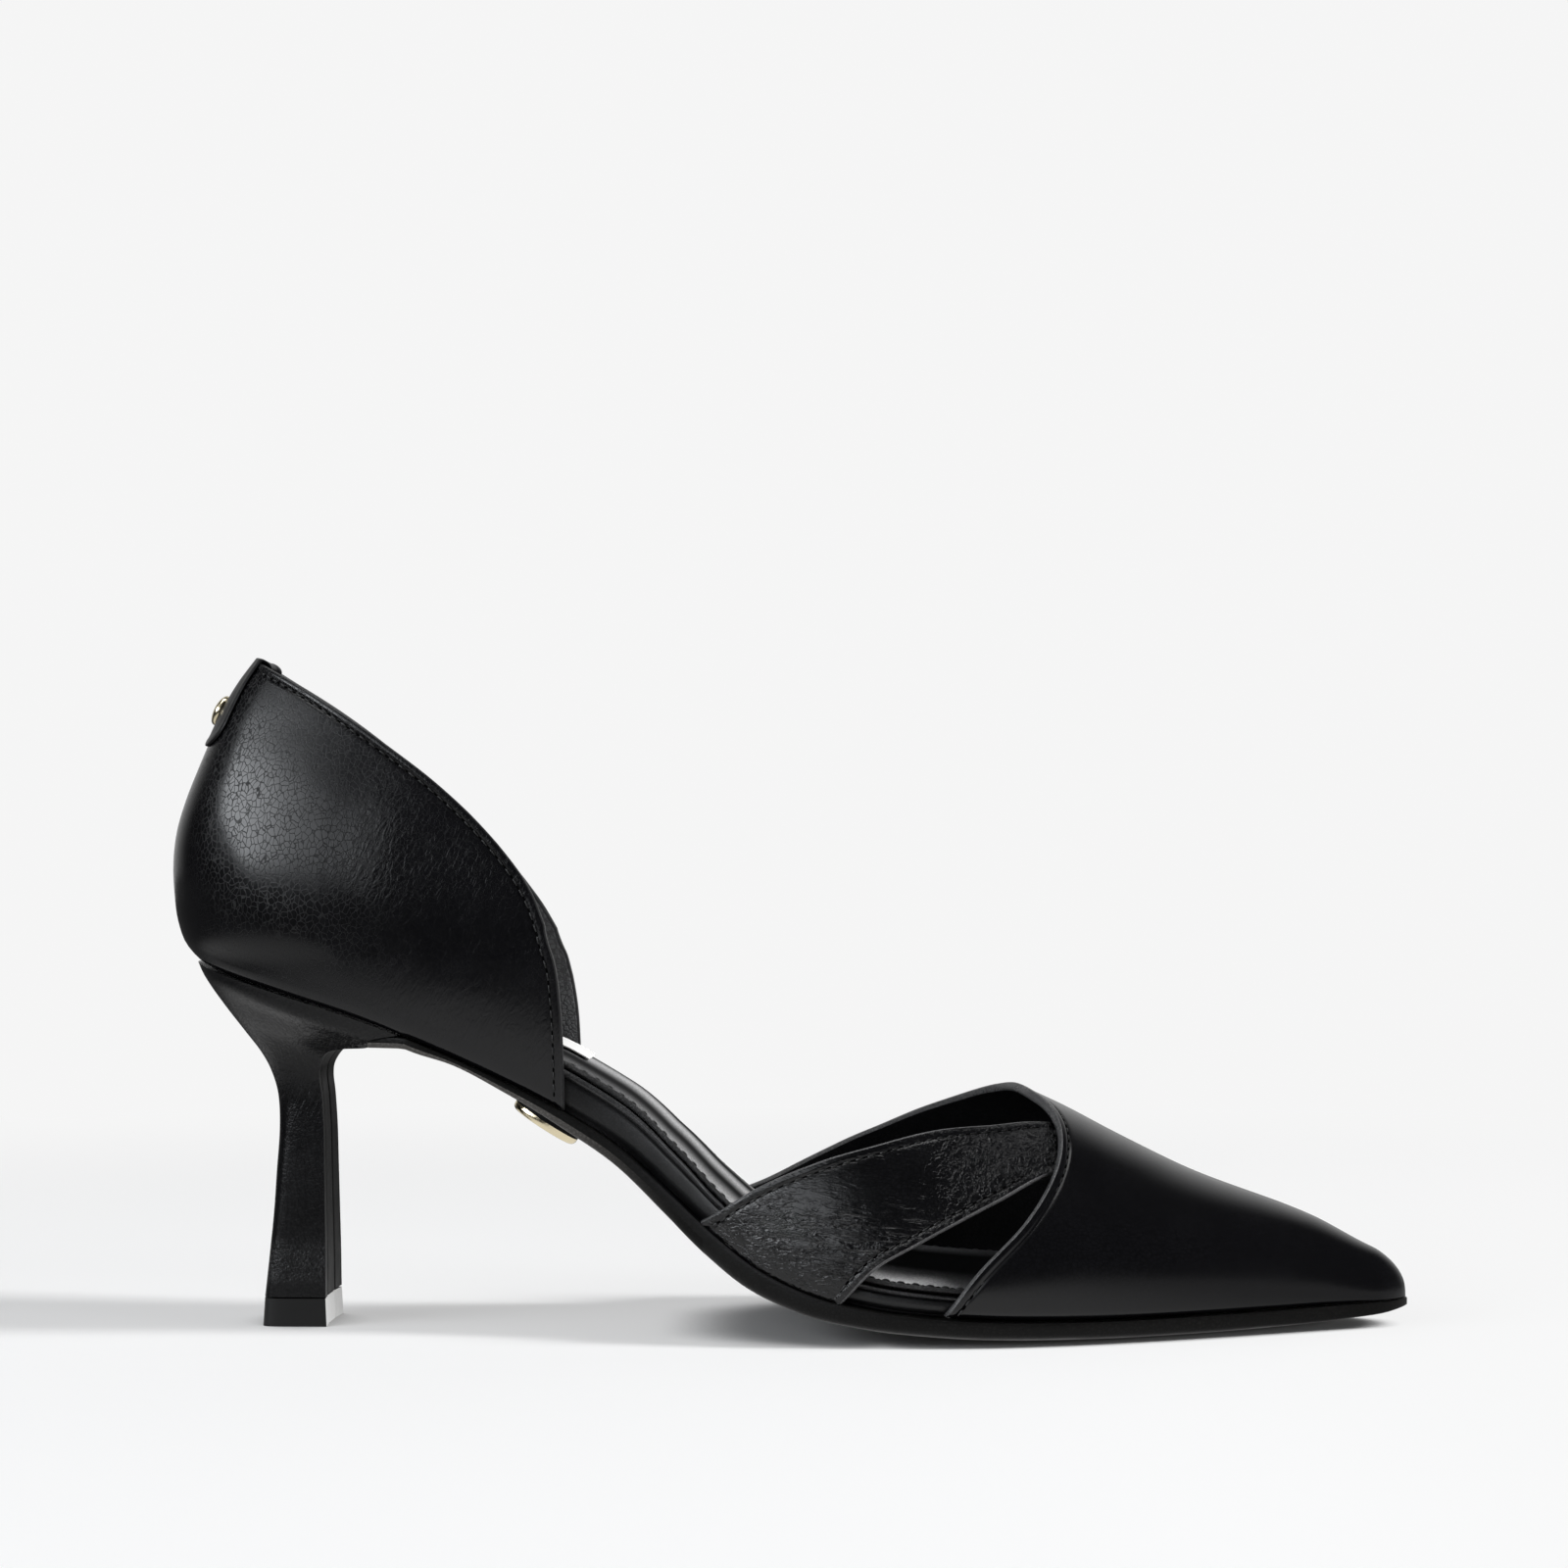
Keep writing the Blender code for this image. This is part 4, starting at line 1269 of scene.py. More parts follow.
def make_gold(name):
    """Polished plated metal with faint polishing lines."""
    finish = Finish(name)
    wear = finish.group(HANDLING_WEAR, Roughness=0.1, Range=0.06, Patch=2.5)
    lines = finish.group(SOFT_WRINKLES, Place=finish.turned(20.0), Length=4.0, Spacing=0.2, Depth=0.004)
    tinted(finish, (0.94, 0.83, 0.58), wear["Tone"], lift=1.06)
    finish.set(Roughness=wear["Roughness"], Metallic=1.0)
    finish.bump(lines["Height"])
    return finish.material


QUARTER_LEATHER = make_quarter_leather()
VAMP_LEATHER = make_vamp_leather()
STRAP_LEATHER = make_strap_leather()
HEEL_LEATHER = make_heel_leather()
SOCK_LEATHER = make_sock_leather()
SOLE_DYE = (0.005, 0.0049, 0.0047)
SOLE_EDGE = make_sole_leather("sole_edge", SOLE_DYE, gloss=0.14)
SOLE_BEVEL = make_sole_leather("sole_bevel", (0.1, 0.095, 0.09), SOLE_DYE, gloss=0.08)
THREAD = make_thread()
LABEL_WHITE = make_label_white()
BACK_STUD_GOLD = make_gold("back_stud_gold")
SOLE_STUD_GOLD = make_gold("sole_stud_gold")

# Plain leathers: name, colour, roughness, size of the grain, depth of its cracks and pores, and gloss
TAB_LEATHER = make_plain_leather("tab_leather", (0.004, 0.004, 0.0044), 0.36, 0.9, 0.015, 0.006, 0.25)
LINING = make_plain_leather("lining_leather", (0.006, 0.006, 0.0063), 0.55, 0.8, 0.03, 0.012, 0.12)
QUARTER_LINING = make_plain_leather("quarter_lining", (0.11, 0.111, 0.114), 0.5, 0.9, 0.08, 0.03)
QUARTER_RIM = make_plain_leather("quarter_rim", (0.014, 0.014, 0.0145), 0.36, 0.6, 0.015, 0.008)
# Folded rim of vamp and strap: a lighter grey than their faces, partly the cut edge's own colour and partly a
# painted highlight along the edges.
RIM_GREY_AND_PAINTED_HIGHLIGHT = make_plain_leather("folded_rim_grey_and_painted_highlight", (0.075, 0.075, 0.0765), 0.3, 0.6, 0.05, 0.04)
SOCK_EDGE = make_plain_leather("sock_edge", (0.03, 0.03, 0.0305), 0.5, 0.7, 0.03, 0.02, 0.2)
WRAPPED_EDGE = make_plain_leather("wrapped_edge", (0.008, 0.008, 0.0085), 0.34, 0.7, 0.01, 0.006)
# Wrapped bead: glossier and lighter than the wrapped edge; its lighter colour is a painted highlight line
# along the board's bead.
WRAPPED_BEAD_PAINTED_HIGHLIGHT = make_plain_leather("wrapped_bead_painted_highlight", (0.03, 0.03, 0.031), 0.16, 0.7, 0.006, 0.004)

# Even finishes: name, colour, roughness, depth of the pores and gloss
BREAST_LEATHER = make_even("breast_leather", (0.008, 0.008, 0.008), 0.5, 0.02, 0.13)
TOP_PIECE_RUBBER = make_even("top_piece_rubber", (0.006, 0.006, 0.006), 0.5, 0.01, 0.25)
PALE_LIFT_FACE = make_even("pale_lift_face", (0.9, 0.9, 0.89), 0.42, 0.02)
# Needle holes: a near-black matt body stands where a hole's shade would be, as painted shade.
NEEDLE_HOLE_SHADE = make_even("needle_hole_painted_shade", (0.0008, 0.0008, 0.0008), 0.9, 0.02, 0.05)


# Upper


def quarter_columns():
    """Shares of one side's columns, from the back seam to the front edge."""
    seam = [turn_share(turn) for turn in SEAM_TURNS]
    round_heel = [turn_share(turn) for turn in np.arange(6.5, 90.0, 2.5)]
    front_edge = [1 - run / QUARTER_RUN for run in reversed(EDGE_RUNS)]
    side = np.linspace(turn_share(90), front_edge[0], 30).tolist()
    return seam + round_heel + side + front_edge[1:]


def quarter_edge(side):
    """The quarter's free edge on one side: along the topline, then down the front. Points and normals."""
    places = [(side, share, quarter_head(side, share)) for share in quarter_columns()[:-1]]
    corner = quarter_head(side, 1.0)
    foot = quarter_foot(side, 1.0)
    places += [(side, 1.0, z) for z in np.linspace(corner, foot, 60)]
    return fine_edge(places, quarter_point, quarter_normal)


def finer(values, pitch, along=None):
    """Values resampled every pitch millimetres along a line of points."""
    line = values if along is None else along
    run = np.concatenate([[0.0], np.cumsum(np.linalg.norm(np.diff(line, axis=0), axis=1))])
    at = np.linspace(0.0, run[-1], int(run[-1] / pitch) + 1)
    return np.stack([np.interp(at, run, values[:, k]) for k in range(3)], axis=1)


def fine_edge(places, point, normal):
    """A finely drawn edge through places on it: its points and its outward directions."""
    points = np.array([point(*place) for place in places])
    normals = np.array([normal(*place) for place in places])
    return finer(points, EDGE_PITCH), finer(normals, EDGE_PITCH, points)


def quarter_grid():
    """Points of the quarter's face, row by row from the seat to the topline."""
    body_rows = 44
    most_stretch = 2.6
    one_side = quarter_columns()
    columns = [(-1, share) for share in reversed(one_side)] + [(1, share) for share in one_side[1:]]
    grid = []
    for side, share in columns:
        foot = quarter_foot(side, share)
        head = quarter_head(side, share)
        x = quarter_point(side, share, head).x
        slope = TOPLINE.at(side_name(side), x + 0.5) - TOPLINE.at(side_name(side), x - 0.5)
        stretch = min(math.hypot(1.0, slope), most_stretch)
        top = [head - run * stretch for run in reversed(EDGE_RUNS)]
        heights = np.linspace(foot, top[0], body_rows).tolist() + top[1:]
        grid.append([quarter_point(side, share, z) for z in heights])
    return np.array(grid).transpose(1, 0, 2)


def foot_tuck(grid):
    """How far the leather turns in where it is drawn under the shoe."""
    return FOOT_TUCK * (1 - round_rise(over_seat(grid) / FOOT_ROUND))


def over_seat(grid):
    return grid[..., 2] - np.array([[seat(x) for x in row] for row in grid[..., 0]])


def toe_fullness(grid):
    """Upright lower side of the toe box, where the leather is drawn over the stiffener."""
    height = over_seat(grid)
    low = ease(height / TOE_FULL_HEIGHT) * (1 - ease((height - TOE_FULL_HEIGHT) / TOE_FULL_FADE))
    return TOE_FULLNESS * low * ease((grid[..., 0] - TOE_FULL_START) / TOE_FULL_RUN)


def back_seam_relief(grid):
    """Groove and swell of the seam up the back of the heel."""
    x, y, z = np.moveaxis(grid, -1, 0)
    swell = SEAM_SWELL * np.exp(-((y / SEAM_SWELL_WIDTH) ** 2))
    groove = SEAM_DEPTH * np.exp(-((y / SEAM_WIDTH) ** 2))
    at_back = (x < SEAM_REACH) * ease((TAB_LOW_Z + SEAM_FADE - z) / SEAM_FADE)
    return (swell - groove) * at_back


def make_quarter():
    grid = quarter_grid()
    outer = quarter_edge(-1)
    inner = quarter_edge(1)
    run = np.minimum(distance_to(grid, outer[0]), distance_to(grid, inner[0]))
    relief = fold_relief(run, topline_share(grid[..., 2])) + hand_of_leather(grid) * ease(run / EVEN_EDGE)
    relief += back_seam_relief(grid)
    relief -= foot_tuck(grid)
    finishes = [QUARTER_LEATHER, QUARTER_LINING, QUARTER_RIM]
    inside = np.array((45.0, 0.0, 85.0))
    free = run < FREE_RUN
    leather_wall("quarter", grid, inside, QUARTER_WALL, relief, free, finishes, "quarter")
    rows = []
    for side, (edge, normals) in ((-1, outer), (1, inner)):
        middle = quarter_point(side, 0.6, 80.0)
        sunk = GROOVE_DEPTH * topline_share(edge[:, 2:])
        rows.append(stitch_row(edge, normals, middle, sunk, QUARTER_STITCHES))
    add_stitches("quarter_stitches", rows, THREAD)


def vamp_grid():
    """Points of the vamp's face, row by row from its free edge to the tip."""
    body_rows = 70
    angle_step = 1.0
    most_stretch = 3.0
    tip_gap = 0.0002
    grid = []
    for angle in np.linspace(0.0, 180.0, 121):
        edge = VAMP_EDGE.at("x", angle)
        low = max(angle - angle_step, 0.0)
        high = min(angle + angle_step, 180.0)
        along = last_point(VAMP_EDGE.at("x", high), high) - last_point(VAMP_EDGE.at("x", low), low)
        forward = last_point(edge + 0.5, angle) - last_point(edge - 0.5, angle)
        square = forward - along * (forward.dot(along) / along.length_squared)
        stretch = min(1 / square.length, most_stretch)
        near = [edge + run * stretch for run in EDGE_RUNS]
        shares = np.sin(np.linspace(0.0, math.pi / 2, body_rows + 1)[1:])
        far = near[-1] + (LENGTH - tip_gap - near[-1]) * shares
        grid.append([last_point(x, angle) for x in near + far.tolist()])
    return np.array(grid).transpose(1, 0, 2)


def vamp_edge():
    """The vamp's free edge, from the outer seat to the inner one. Points and normals."""
    places = [(VAMP_EDGE.at("x", angle), angle) for angle in np.linspace(0.0, 180.0, 241)]
    return fine_edge(places, last_point, last_normal)


def make_vamp():
    grid = vamp_grid()
    edge, normals = vamp_edge()
    run = distance_to(grid, edge)
    tip = ease((LENGTH - grid[..., 0]) / TIP_CALM_RUN)
    relief = fold_relief(run) + hand_of_leather(grid) * ease(run / EVEN_EDGE) * tip * VAMP_WAVE_SHARE
    relief -= foot_tuck(grid) * tip * VAMP_TUCK_SHARE
    relief += toe_fullness(grid) * tip
    finishes = [VAMP_LEATHER, LINING, RIM_GREY_AND_PAINTED_HIGHLIGHT]
    inside = np.array((185.0, 0.0, 8.0))
    free = run < FREE_RUN
    leather_wall("vamp", grid, inside, VAMP_WALL, relief, free, finishes, "vamp")
    row = stitch_row(edge, normals, (215.0, 0.0, 20.0), GROOVE_DEPTH, VAMP_STITCHES)
    add_stitches("vamp_stitches", [row], THREAD)


def strap_edge(share):
    """One edge of the strap, from the seat to its hidden end. Points and normals."""
    places = [(step, share) for step in np.linspace(0.0, STRAP.stations[-1], 141)]
    return fine_edge(places, strap_point, strap_normal)


def strap_grid():
    """Points of the strap's face, row by row from the seat to its hidden end."""
    body_columns = 30
    grid = []
    for step in np.linspace(0.0, STRAP.stations[-1], 121):
        width = (strap_point(step, 1.0) - strap_point(step, 0.0)).length
        near = [run / width for run in EDGE_RUNS]
        shares = near[:-1] + np.linspace(near[-1], 1 - near[-1], body_columns).tolist()
        shares += [1 - share for share in reversed(near[:-1])]
        grid.append([strap_point(step, share) for share in shares])
    return np.array(grid)


def crease_relief(grid, creases):
    """Soft troughs along lines that are given in the side view."""
    relief = np.zeros(grid.shape[:2])
    side_view = grid[..., [0, 2]]
    for x0, z0, x1, z1, depth, width in creases:
        start = np.array((x0, z0))
        line = np.array((x1, z1)) - start
        share = ((side_view - start) @ line) / (line @ line)
        nearest = start + np.clip(share, 0, 1)[..., None] * line
        gap = np.linalg.norm(side_view - nearest, axis=-1)
        fade = np.sin(np.pi * np.clip(share, 0, 1)) ** 0.5
        relief -= depth * fade * np.exp(-((gap / width) ** 2))
    return relief


def make_strap():
    grid = strap_grid()
    upper = strap_edge(0.0)
    lower = strap_edge(1.0)
    run = np.minimum(distance_to(grid, upper[0]), distance_to(grid, lower[0]))
    uneven = hand_of_leather(grid) + STRAP_CREASE_SHARE * crease_relief(grid, STRAP_CREASES)
    relief = fold_relief(run, STRAP_FOLD_SHARE) + uneven * ease(run / STRAP_EVEN_EDGE)
    finishes = [STRAP_LEATHER, LINING, RIM_GREY_AND_PAINTED_HIGHLIGHT]
    inside = np.array((150.0, 5.0, 10.0))
    free = run < FREE_RUN
    leather_wall("strap", grid, inside, STRAP_WALL, relief, free, finishes, "strap")
    middle = strap_point(3.0, 0.5)
    rows = [stitch_row(*edge, middle, GROOVE_DEPTH, STRAP_STITCHES) for edge in (upper, lower)]
    add_stitches("strap_stitches", rows, THREAD)


# Sole and insole


def make_outsole():
    section = mirror_section(OUTSOLE_SIDE)
    tip = LENGTH + OUTSOLE_OUTSET - END_SETBACK
    rings = []
    for x in stations(OUTSOLE_START, tip, round_end=True):
        outer, inner = plan_edges(x, -OUTSOLE_OUTSET)
        middle = (outer + inner) / 2
        half = (inner - outer) / 2 * (1 - LIP_TUCK * (1 - ease((x - OUTSOLE_START) / LIP_RUN)))
        top = outsole_top(x)
        ring = []
        for across, up in section:
            low = outsole_bottom(x, across)
            ring.append((x, middle + half * across, low + (top - low) * up))
        rings.append(ring)
    kinds = []
    for ring in rings[:-1]:
        for low, high in zip(section, section[1:] + section[:1]):
            bevel = ring[0][0] < WAIST_BEVEL_END and max(low[1], high[1]) < WAIST_BEVEL_TOP
            kinds.append(1 if bevel else 0)
    kinds += [0, 0]
    loft("outsole", rings, [SOLE_EDGE, SOLE_BEVEL], "outsole", face_finish=kinds)


def make_board():
    section = mirror_section(BOARD_SIDE)
    start = HEEL_SEAT_BACK + BOARD_INSET + END_SETBACK
    rings = []
    for x in stations(start, BOARD_END, round_start=True):
        base = seat(x)
        height = board_top(x) - base
        edges = last_edges(x, height, BOARD_INSET)
        rings.append(layer_ring(x, base, height, edges, section))
    # The bead's faces take the lighter finish with its painted highlight.
    one_ring = [0] * len(section)
    for i in range(BEAD_FACES):
        one_ring[i] = 1
        one_ring[-2 - i] = 1
    kinds = one_ring * (len(rings) - 1) + [0, 0]
    finishes = [WRAPPED_EDGE, WRAPPED_BEAD_PAINTED_HIGHLIGHT]
    loft("insole_board", rings, finishes, "insole_board", face_finish=kinds)


SOCK_RUNS = (0.25, 0.6, 1.0, 1.4, 1.8, 2.2, 2.6, 3.0, 3.5, 4.2, 5.2, 7.0, 9.5, 13.0)
SOCK_LINE_PITCH = 0.4
SOCK_SHOULDER = 1.6
SOCK_RIM_SHARE = 0.5
SOCK_EDGE_SHARE = 0.6
SOCK_FOOT_INSET = 0.015
SOCK_FOOT_SHARE = 0.22
SOCK_EDGE_FACES = 3
# Stitches of the sock: distance from its edge, their ends, their groove, and how deep they lie
SOCK_STITCH_RUN = 1.1
SOCK_STITCH_START = 16.0
SOCK_STITCH_STOP = 2.0
SOCK_GROOVE = 0.2
SOCK_GROOVE_WIDTH = 0.4
SOCK_STITCH_SINK = 0.02
SOCK_WAIST_SINK = 0.3
SOCK_WAIST_END = 128.0
SOCK_BALL_RUN = 16.0


def sock_profile(run):
    """Height of the padded sock's top as a share of its thickness, by distance from its edge."""
    shoulder = SOCK_RIM_SHARE + (1 - SOCK_RIM_SHARE) * round_rise(run / SOCK_SHOULDER)
    groove = SOCK_GROOVE * np.exp(-(((run - SOCK_STITCH_RUN) / SOCK_GROOVE_WIDTH) ** 2))
    return shoulder - groove


def sock_level(x, run, half):
    """Top of the padded sock at a distance from its edge: it rises all the way to the middle."""
    base = board_top(x) + GAP
    inward = np.clip(run / half, 0, 1)
    crown = SOCK_EDGE_SHARE + (1 - SOCK_EDGE_SHARE) * (1 - (1 - inward) ** 2)
    return base + (sock_top(x) - base) * sock_profile(run) * crown


def sock_stitch_rows(along, sides):
    """The sock's stitch lines, inside its outer and inner edges, and their upward normals."""
    rows = []
    for side, inward in ((0, 1), (1, -1)):
        line = []
        for x, edges in zip(along, sides):
            if SOCK_STITCH_START < x < SOCK_END - SOCK_STITCH_STOP:
                half = (edges[1] - edges[0]) / 2
                at_ball = ease((x - SOCK_WAIST_END) / SOCK_BALL_RUN)
                sink = SOCK_WAIST_SINK + (SOCK_STITCH_SINK - SOCK_WAIST_SINK) * at_ball
                level = sock_level(x, SOCK_STITCH_RUN, half) - sink
                line.append((x, edges[side] + inward * SOCK_STITCH_RUN, level))
        line = finer(np.array(line), SOCK_LINE_PITCH)
        forward = unit(np.gradient(line, axis=0))
        up = np.column_stack([-forward[:, 2], np.zeros(len(line)), forward[:, 0]])
        rows.append((line, unit(up)))
    return rows


def make_sock():
    """A thin pad: soft at its edge, drawn in along its stitches and crowned in the middle."""
    start = HEEL_SEAT_BACK + SOCK_INSET + END_SETBACK
    along = stations(start, SOCK_END, round_start=True)
    sides = [last_edges(x, sock_top(x) - seat(x), SOCK_INSET) for x in along]
    outline = [(x, edges[0]) for x, edges in zip(along, sides)][::-1]
    outline += [(x, edges[1]) for x, edges in zip(along, sides)]
    flat_outline = finer(np.array([(*place, 0.0) for place in outline]), SOCK_LINE_PITCH)[:, :2]
    rings = []
    for x, (outer, inner) in zip(along, sides):
        half = (inner - outer) / 2
        fit = min(1.0, half / (SOCK_RUNS[-1] + 3.0))
        runs = [run * fit for run in SOCK_RUNS]
        across = [half - run for run in runs] + np.linspace(half - runs[-1], 0.0, 5)[1:].tolist()
        across += [-y for y in reversed(across[:-1])]
        y = (outer + inner) / 2 + np.array(across)
        place = np.column_stack([np.full(len(y), x), y])
        run = distance_to(place, flat_outline)
        base = board_top(x) + GAP
        height = sock_top(x) - base
        top = sock_level(x, run, half)
        foot = base + SOCK_FOOT_SHARE * height
        inset = SOCK_FOOT_INSET * (inner - outer)
        ring = [(x, inner - inset, base), (x, inner, foot)]
        ring += [(x, side, level) for side, level in zip(y, top)]
        ring += [(x, outer, foot), (x, outer + inset, base)]
        rings.append(ring)
    turned_down = [0] * len(rings[0])
    for i in range(SOCK_EDGE_FACES):
        turned_down[i] = 1
        turned_down[-2 - i] = 1
    turned_down[-1] = 1
    kinds = turned_down * (len(rings) - 1) + [1, 1]
    finishes = [SOCK_LEATHER, SOCK_EDGE]
    sock = loft("sock", rings, finishes, "sock", sharp=70.0, face_finish=kinds)
    rows = sock_stitch_rows(along, sides)
    add_stitches("sock_stitches", rows, THREAD, pitch=2.8, length=1.9, radius=0.34)


def make_label():
    """A plain patch with soft corners, lying on the sock."""
    section = mirror_section(LABEL_SIDE)
    edges = (-LABEL_HALF_WIDTH, LABEL_HALF_WIDTH)
    rings = []
    for x in stations(LABEL_BACK, LABEL_FRONT):
        base = sock_top(x) + GAP + LABEL_LIFT
        rings.append(layer_ring(x, base, LABEL_THICKNESS, edges, section))
    label = loft("sock_label", rings, [LABEL_WHITE], "sock_label", sharp=50.0)
    bevelled(label, LABEL_BEVEL, 60.0)


# Heel


def heel_ring(back, front, half_width, squareness, seat_share, per_side=36):
    """One level of the heel: squared in the stem, spreading to the seat's outline at the top."""
    near = []
    for i in range(per_side + 1):
        t = (1 - math.cos(math.pi * i / per_side)) / 2
        square = (1 - (1 - t) ** squareness) ** (1 / squareness)
        lip = plan_edges(HEEL_SEAT_BACK + t * (HEEL.columns["front_x"][-1] - HEEL_SEAT_BACK))[1]
        y = half_width * (square + (lip / HEEL_HALF_WIDTH - square) * seat_share)
        point = back.lerp(front, t)
        near.append((point.x, -y, point.z))
    hollow = HEEL_BREAST_HOLLOW * (1 - seat_share)
    breast = near[-1][1]
    middle = []
    for share in BREAST_SHARES:
        off_seam = (share - BREAST_SEAM_SHARE) / BREAST_SEAM_WIDTH
        seam = BREAST_SEAM_DEPTH * math.exp(-(off_seam**2)) * (1 - seat_share)
        middle.append((front.x - hollow * (1 - share * share) - seam, breast * share, front.z))
    half = near + middle
    mirrored = [(x, -y, z) for x, y, z in reversed(half[1:-1])]
    return half + mirrored


def heel_levels():
    """The heel's rings at its tabled levels, the highest one fitted to the seat."""
    rings = []
    for level in range(len(HEEL.stations)):
        row = {name: column[level] for name, column in HEEL.columns.items()}
        back = Vector((row["back_x"], 0, row["back_z"]))
        front = Vector((row["front_x"], 0, row["front_z"]))
        rings.append(heel_ring(back, front, row["half_width"], row["squareness"], row["seat_share"]))
    rings[-1] = [(x, y, seat(x) - GAP) for x, y, z in rings[-1]]
    return np.array(rings)


def breast_kinds(rings, count):
    """Finish of each face of a heel loft: 1 on the breast, 0 elsewhere."""
    one_ring = [1 if abs(i + 0.5 - count // 2) < len(BREAST_SHARES) else 0 for i in range(count)]
    return one_ring * (rings - 1) + [0, 0]


def make_heel():
    levels = heel_levels()
    slopes = np.gradient(levels, axis=0)
    rings = []
    for k in range(len(levels) - 1):
        for t in np.arange(HEEL_STEPS) / HEEL_STEPS:
            rings.append(cubic(t, levels[k], levels[k + 1], slopes[k], slopes[k + 1]))
    rings.append(levels[-1])
    kinds = breast_kinds(len(rings), len(levels[0]))
    loft("heel", rings, [HEEL_LEATHER, BREAST_LEATHER], "heel", face_finish=kinds)


def make_top_piece():
    """The wear piece: black, with a pale face under the breast."""
    rings = []
    for share in (0.0, 0.5, 1.0):
        flare = TOP_PIECE_FLARE * (1 - share)
        z = share * (HEEL.columns["back_z"][0] - GAP)
        back = Vector((HEEL.columns["back_x"][0] - flare, 0, z))
        front = Vector((HEEL.columns["front_x"][0] + flare, 0, z))
        half_width = HEEL.columns["half_width"][0] + flare
        rings.append(heel_ring(back, front, half_width, HEEL.columns["squareness"][0], 0.0))
    kinds = breast_kinds(len(rings), len(rings[0]))
    finishes = [TOP_PIECE_RUBBER, PALE_LIFT_FACE]
    piece = loft("top_piece", rings, finishes, "top_piece", face_finish=kinds)
    bevelled(piece, TOP_PIECE_BEVEL)


# Trim


def tab_path(turn, low_z):
    """One strip of the heel tab's face: up the outside from low_z, over the rim and down the inside."""
    side = -1 if turn < 0 else 1
    share = turn_share(abs(turn))
    head = quarter_head(side, share)
    middle = -QUARTER_WALL / 2
    reach = QUARTER_WALL / 2 + TAB_LIE
    path = []
    for z in np.linspace(low_z, head, 30):
        path.append(quarter_point(side, share, z) + quarter_normal(side, share, z) * TAB_LIE)
    rim = quarter_point(side, share, head)
    outward = quarter_normal(side, share, head)
    up = (rim - quarter_point(side, share, head - 0.5)).normalized()
    for bend in np.radians(TAB_FOLD_TURNS):
        path.append(rim + outward * (middle + reach * math.cos(bend)) + up * TAB_RISE * math.sin(bend))
    for run in TAB_INSIDE_RUNS:
        path.append(rim + outward * (middle - reach) - up * run)
    return path


def make_heel_tab():
    strips = 36
    rows = []
    for i in range(strips + 1):
        across = 2 * i / strips - 1
        corner = max(0.0, (abs(across) - 1 + TAB_CORNER) / TAB_CORNER)
        low_z = TAB_LOW_Z + TAB_CORNER_RISE * (1 - math.sqrt(1 - corner**2))
        low = tab_path(across * TAB_LOW_TURN, low_z)
        high = tab_path(across * TAB_HIGH_TURN, low_z)
        rows.append([a.lerp(b, float(ease(k / (len(low) - 1)))) for k, (a, b) in enumerate(zip(low, high))])
    grid = np.array(rows)
    border = np.concatenate([grid[0, ::-1], grid[:, 0], grid[-1]])
    run = distance_to(grid, finer(border, EDGE_PITCH))
    relief = TAB_HEM_RISE * (1 - ease((run - TAB_HEM_WIDTH) / TAB_HEM_SLOPE))
    inside = np.array(quarter_point(1, 0.0, BACK_STUD_Z)) + (1.0, 0.0, 0.0)
    finishes = [TAB_LEATHER, LINING, TAB_LEATHER]
    free = np.ones(run.shape, bool)
    leather_wall("heel_tab", grid, inside, TAB_SKIVED_WALL, relief, free, finishes, "heel_tab")


def turned_stud(name, profile, place, facing, narrowing, finish, node, setting=0):
    """A turned dome: profile pairs of radius and height, from the middle of its face to its base."""
    count = 72
    facing = np.array(facing.normalized())
    side = np.array((0.0, 1.0, 0.0))
    length = np.cross(side, facing)
    rings = []
    for radius, height in profile:
        turns = np.arange(count) * 2 * math.pi / count
        spoke = np.cos(turns)[:, None] * length + np.sin(turns)[:, None] * side * narrowing
        rings.append(np.array(place) + spoke * radius + facing * height)
    face_finish = None
    if setting:
        sides = [0] * (len(rings) - 1 - setting) + [1] * setting
        face_finish = [kind for kind in sides for _ in range(count)] + [0, 1]
    return loft(name, rings, [finish, SOLE_EDGE], node, sharp=35.0, face_finish=face_finish)


def dome_profile(radius, height, rim, steps=14):
    """A low dome that rises from a rim, then a short straight side."""
    turns = np.radians(np.linspace(88, 8, steps))
    profile = [(radius * math.cos(a), height * (rim + (1 - rim) * math.sin(a))) for a in turns]
    return profile + [(radius, height * rim * 0.75), (radius * 0.99, height * 0.1), (radius * 0.96, 0.0)]


def make_back_stud():
    facing = quarter_normal(1, 0.0, BACK_STUD_Z)
    facing.y = 0.0
    facing.normalize()
    place = quarter_point(1, 0.0, BACK_STUD_Z) + facing * (TAB_LIE - BACK_STUD_SINK)
    profile = dome_profile(BACK_STUD_RADIUS, BACK_STUD_HEIGHT, 0.35)
    turned_stud("back_stud", profile, place, facing, 1.0, BACK_STUD_GOLD, "back_stud")


